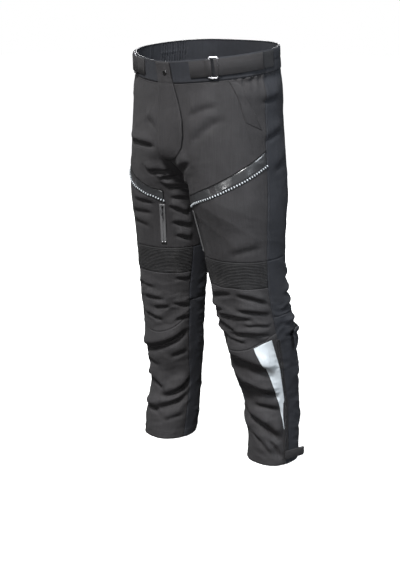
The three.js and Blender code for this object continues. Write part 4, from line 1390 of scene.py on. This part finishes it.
class TROUSERS_OT_waist_adjusters(bpy.types.Operator):
    """Ring, webbing and loop patch on each side of the waistband"""
    bl_idname = "trousers.waist_adjusters"
    bl_label = "Waist adjusters"

    def execute(self, context):
        for side in SIDES:
            sewn(f"loop_patch_{side}", side, "hook_loop", RING_U - 0.008, 0.535, -3.0, -37.0,
                 off=3.2, thick=1.1, roll=0.5, step=2.5)
            strap(f"strap_loop_{side}", side, RING_U + 0.0065, RING_U + 0.0213, 4.9,
                  "trousers_upper", stands=False)
            strap(f"waist_strap_{side}", side, RING_U + 0.0224, 0.48, 4.9, f"waist_strap_{side}",
                  start=7.5)
            strap(f"strap_anchor_{side}", side, 0.168, RING_U - 0.0065, 3.4, "trousers_upper",
                  thick=2.2, fold=1)
            out = normal(side, RING_U, RING_LEVEL)
            up = unit(np.array(UP) - out * out[2])
            x, y = (power(oval(1, 1, 72), (0.2, 0.16)) * (9.6, 21.8)).T[..., None]
            centre = surface(side, RING_U, RING_LEVEL) + 5.4 * out
            at = centre + x * np.cross(up, out) + y * up
            forward = unit(np.roll(at, -1, 0) - np.roll(at, 1, 0))
            outs = np.tile(out, (72, 1))
            ring = sweep(f"visual_strap_ring_{side}", at, np.cross(forward, outs), outs,
                         oval(2.3, 1.3, 10), "bright_metal", ring=True)
            done(ring, "trousers_upper", "bright_metal", f"strap_ring_{side}")
        return {"FINISHED"}


class TROUSERS_OT_hem_straps(bpy.types.Operator):
    """Strap that closes each hem, standing off behind the leg"""
    bl_idname = "trousers.hem_straps"
    bl_label = "Hem straps"

    def execute(self, context):
        for side in SIDES:
            n = normal(side, 0.44, HEM[side] + 26.0)
            outward = unit(np.array([n[0], n[1], 0.0]))
            back = np.array([-outward[1], outward[0], 0.0]) * (1 if side == "left" else -1)
            d = np.linspace(0, 56, 40)
            rise = 7.4 - 0.0016 * d**2 + 0.5 * np.sin(d / 9)
            at = (surface(side, 0.44, HEM[side] + 26.0) + np.outer(d, back)
                  + np.outer(rise, outward) + np.outer(0.02 * d, UP))
            across = np.tile(UP, (40, 1))
            outs = unit(np.cross(across, unit(np.gradient(at, axis=0))))
            wide = 22 * np.where(d > 50, np.sqrt(np.clip(1 - ((d - 50) / 9) ** 2, 0.2, 1)), 1.0)
            corner = np.array([(-0.47, -0.9), (0.47, -0.9), (0.5, -0.5), (0.5, 0.5), (0.47, 0.9),
                               (-0.47, 0.9), (-0.5, 0.5), (-0.5, -0.5)])
            piece = sweep(f"visual_hem_strap_{side}", at, across, outs,
                          corner * np.stack([wide, 0 * wide + 1], -1)[:, None], "webbing")
            done(piece, f"hem_strap_{side}", "webbing", f"hem_strap_{side}")
        return {"FINISHED"}


class TROUSERS_OT_topstitching(bpy.types.Operator):
    """Rows of stitches along the seams, hems, flap and straps"""
    bl_idname = "trousers.topstitching"
    bl_label = "Topstitching"

    def execute(self, context):
        t = np.linspace(0, 1, 300)
        run = lambda start, end: band(t, start, end)
        on_cloth, on_trim, on_welt = 0.1, 1.0, 1.4
        high, knee, front = run(-52, BAND_TOP + 3), run(BAND_TOP, -606), run(0.035, 0.455)
        upper = [(side_seam(high) - 0.005, high, on_cloth), (side_seam(high) + 0.005, high, on_cloth),
                 (SEAT_U - 0.004, high, on_cloth), (0.996, high, on_cloth),
                 (0.012, run(-236, BAND_TOP + 3), on_cloth),
                 (run(0.01, 0.995), -3.2, on_trim), (run(0.01, 0.995), 2.6 - WAISTBAND, on_trim),
                 (run(0.01, 0.995), -2.8 - WAISTBAND, on_cloth),
                 (run(0.02, 0.47), BAND_TOP + 2.6, on_cloth),
                 (welt_front(t) + 0.005, run(-52, -136), on_welt),
                 (0.377 + 0.09 * t, run(-60, -153), on_welt),
                 (run(0.40, 0.468), run(-134, -153), on_welt),
                 (run(0.400, 0.432), run(-138, -196), on_cloth),
                 (run(0.4665, 0.4745), run(-156, -206), on_cloth),
                 (0.16 + 0.322 * t, gloss_top(t) - 2, on_trim),
                 (0.154 + 0.332 * t, pipe_level(t) - 4.6, on_cloth)]
        knees = [(run(0.035, 0.457), BAND_BOTTOM - 2.6, on_cloth),
                 (front, knee_hem(front) + 3.2, on_cloth),
                 (side_seam(knee) + 0.006, knee, on_cloth),
                 (0.435, run(BAND_TOP, BAND_BOTTOM), 0.4),
                 (run(0.47, 1.02), CALF_TOP - 2.6, on_cloth)]
        front = run(0.035, 0.452)
        for side in SIDES:
            hem = HEM[side]
            low = run(CALF_TOP - 60, hem + 4)
            shin = [(front, knee_hem(front) - 3.0, on_cloth)]
            shin += [(u, low, on_cloth) for u in (0.472, 0.447, 1.024, 0.037)]
            shin += [(run(*ends), hem + rise, on_trim)
                     for ends in ((0.035, 0.45), (0.472, 1.025)) for rise in (18.5, 14.5)]
            for part, body, lines in (("upper", "trousers_upper", upper),
                                      ("knee", ("knee", side), knees),
                                      ("shin", f"shin_{side}", shin)):
                stitch_rows(f"visual_stitches_{part}_{side}", side, body, lines)
        t = np.linspace(0, 1, 200)
        lines = []
        for inset in (0.010, 0.022):
            u = np.concatenate([flap_end(t) - inset, band(t, 0.118 - inset, -0.02)])
            tip = -210 + 30 * band(t, 0.94, 0.05) ** 4 + inset * 300
            level = np.concatenate([band(t, -6, -182), tip])
            lines.append((u, level, 4.9 - flap_sink(u, level)))
        stitch_rows("visual_stitches_flap", "left", "fly_flap", lines)
        return {"FINISHED"}


STEPS = (TROUSERS_OT_stage, TROUSERS_OT_waistband, TROUSERS_OT_upper_panels, TROUSERS_OT_knees,
         TROUSERS_OT_lower_panels, TROUSERS_OT_linings, TROUSERS_OT_knee_armour,
         TROUSERS_OT_gloss_trim, TROUSERS_OT_wedges, TROUSERS_OT_pockets, TROUSERS_OT_fly,
         TROUSERS_OT_thigh_zips, TROUSERS_OT_calf_zips, TROUSERS_OT_waist_adjusters,
         TROUSERS_OT_hem_straps, TROUSERS_OT_topstitching)


class TROUSERS_PT_panel(bpy.types.Panel):
    """Buttons that build the trousers step by step"""
    bl_idname = "TROUSERS_PT_panel"
    bl_label = "Riding Trousers"
    bl_space_type = "VIEW_3D"
    bl_region_type = "UI"
    bl_category = "Trousers"

    def draw(self, context):
        for holder in ("trouser_sizes", "trouser_colours", "trouser_studio"):
            settings = getattr(context.scene, holder)
            for name in settings.__annotations__:
                self.layout.prop(settings, name)
        for step in STEPS:
            self.layout.operator(step.bl_idname)


CLASSES = (TrouserSizes, TrouserColours, StudioSettings, *STEPS, TROUSERS_PT_panel)


def register():
    for cls in CLASSES:
        bpy.utils.register_class(cls)
    bpy.types.Scene.trouser_sizes = PointerProperty(type=TrouserSizes)
    bpy.types.Scene.trouser_colours = PointerProperty(type=TrouserColours)
    bpy.types.Scene.trouser_studio = PointerProperty(type=StudioSettings)


def unregister():
    del bpy.types.Scene.trouser_studio
    del bpy.types.Scene.trouser_colours
    del bpy.types.Scene.trouser_sizes
    for cls in reversed(CLASSES):
        bpy.utils.unregister_class(cls)


def main():
    register()
    for step in STEPS:
        group_name, action = step.bl_idname.split(".")
        getattr(getattr(bpy.ops, group_name), action)()


if __name__ == "__main__":
    main()
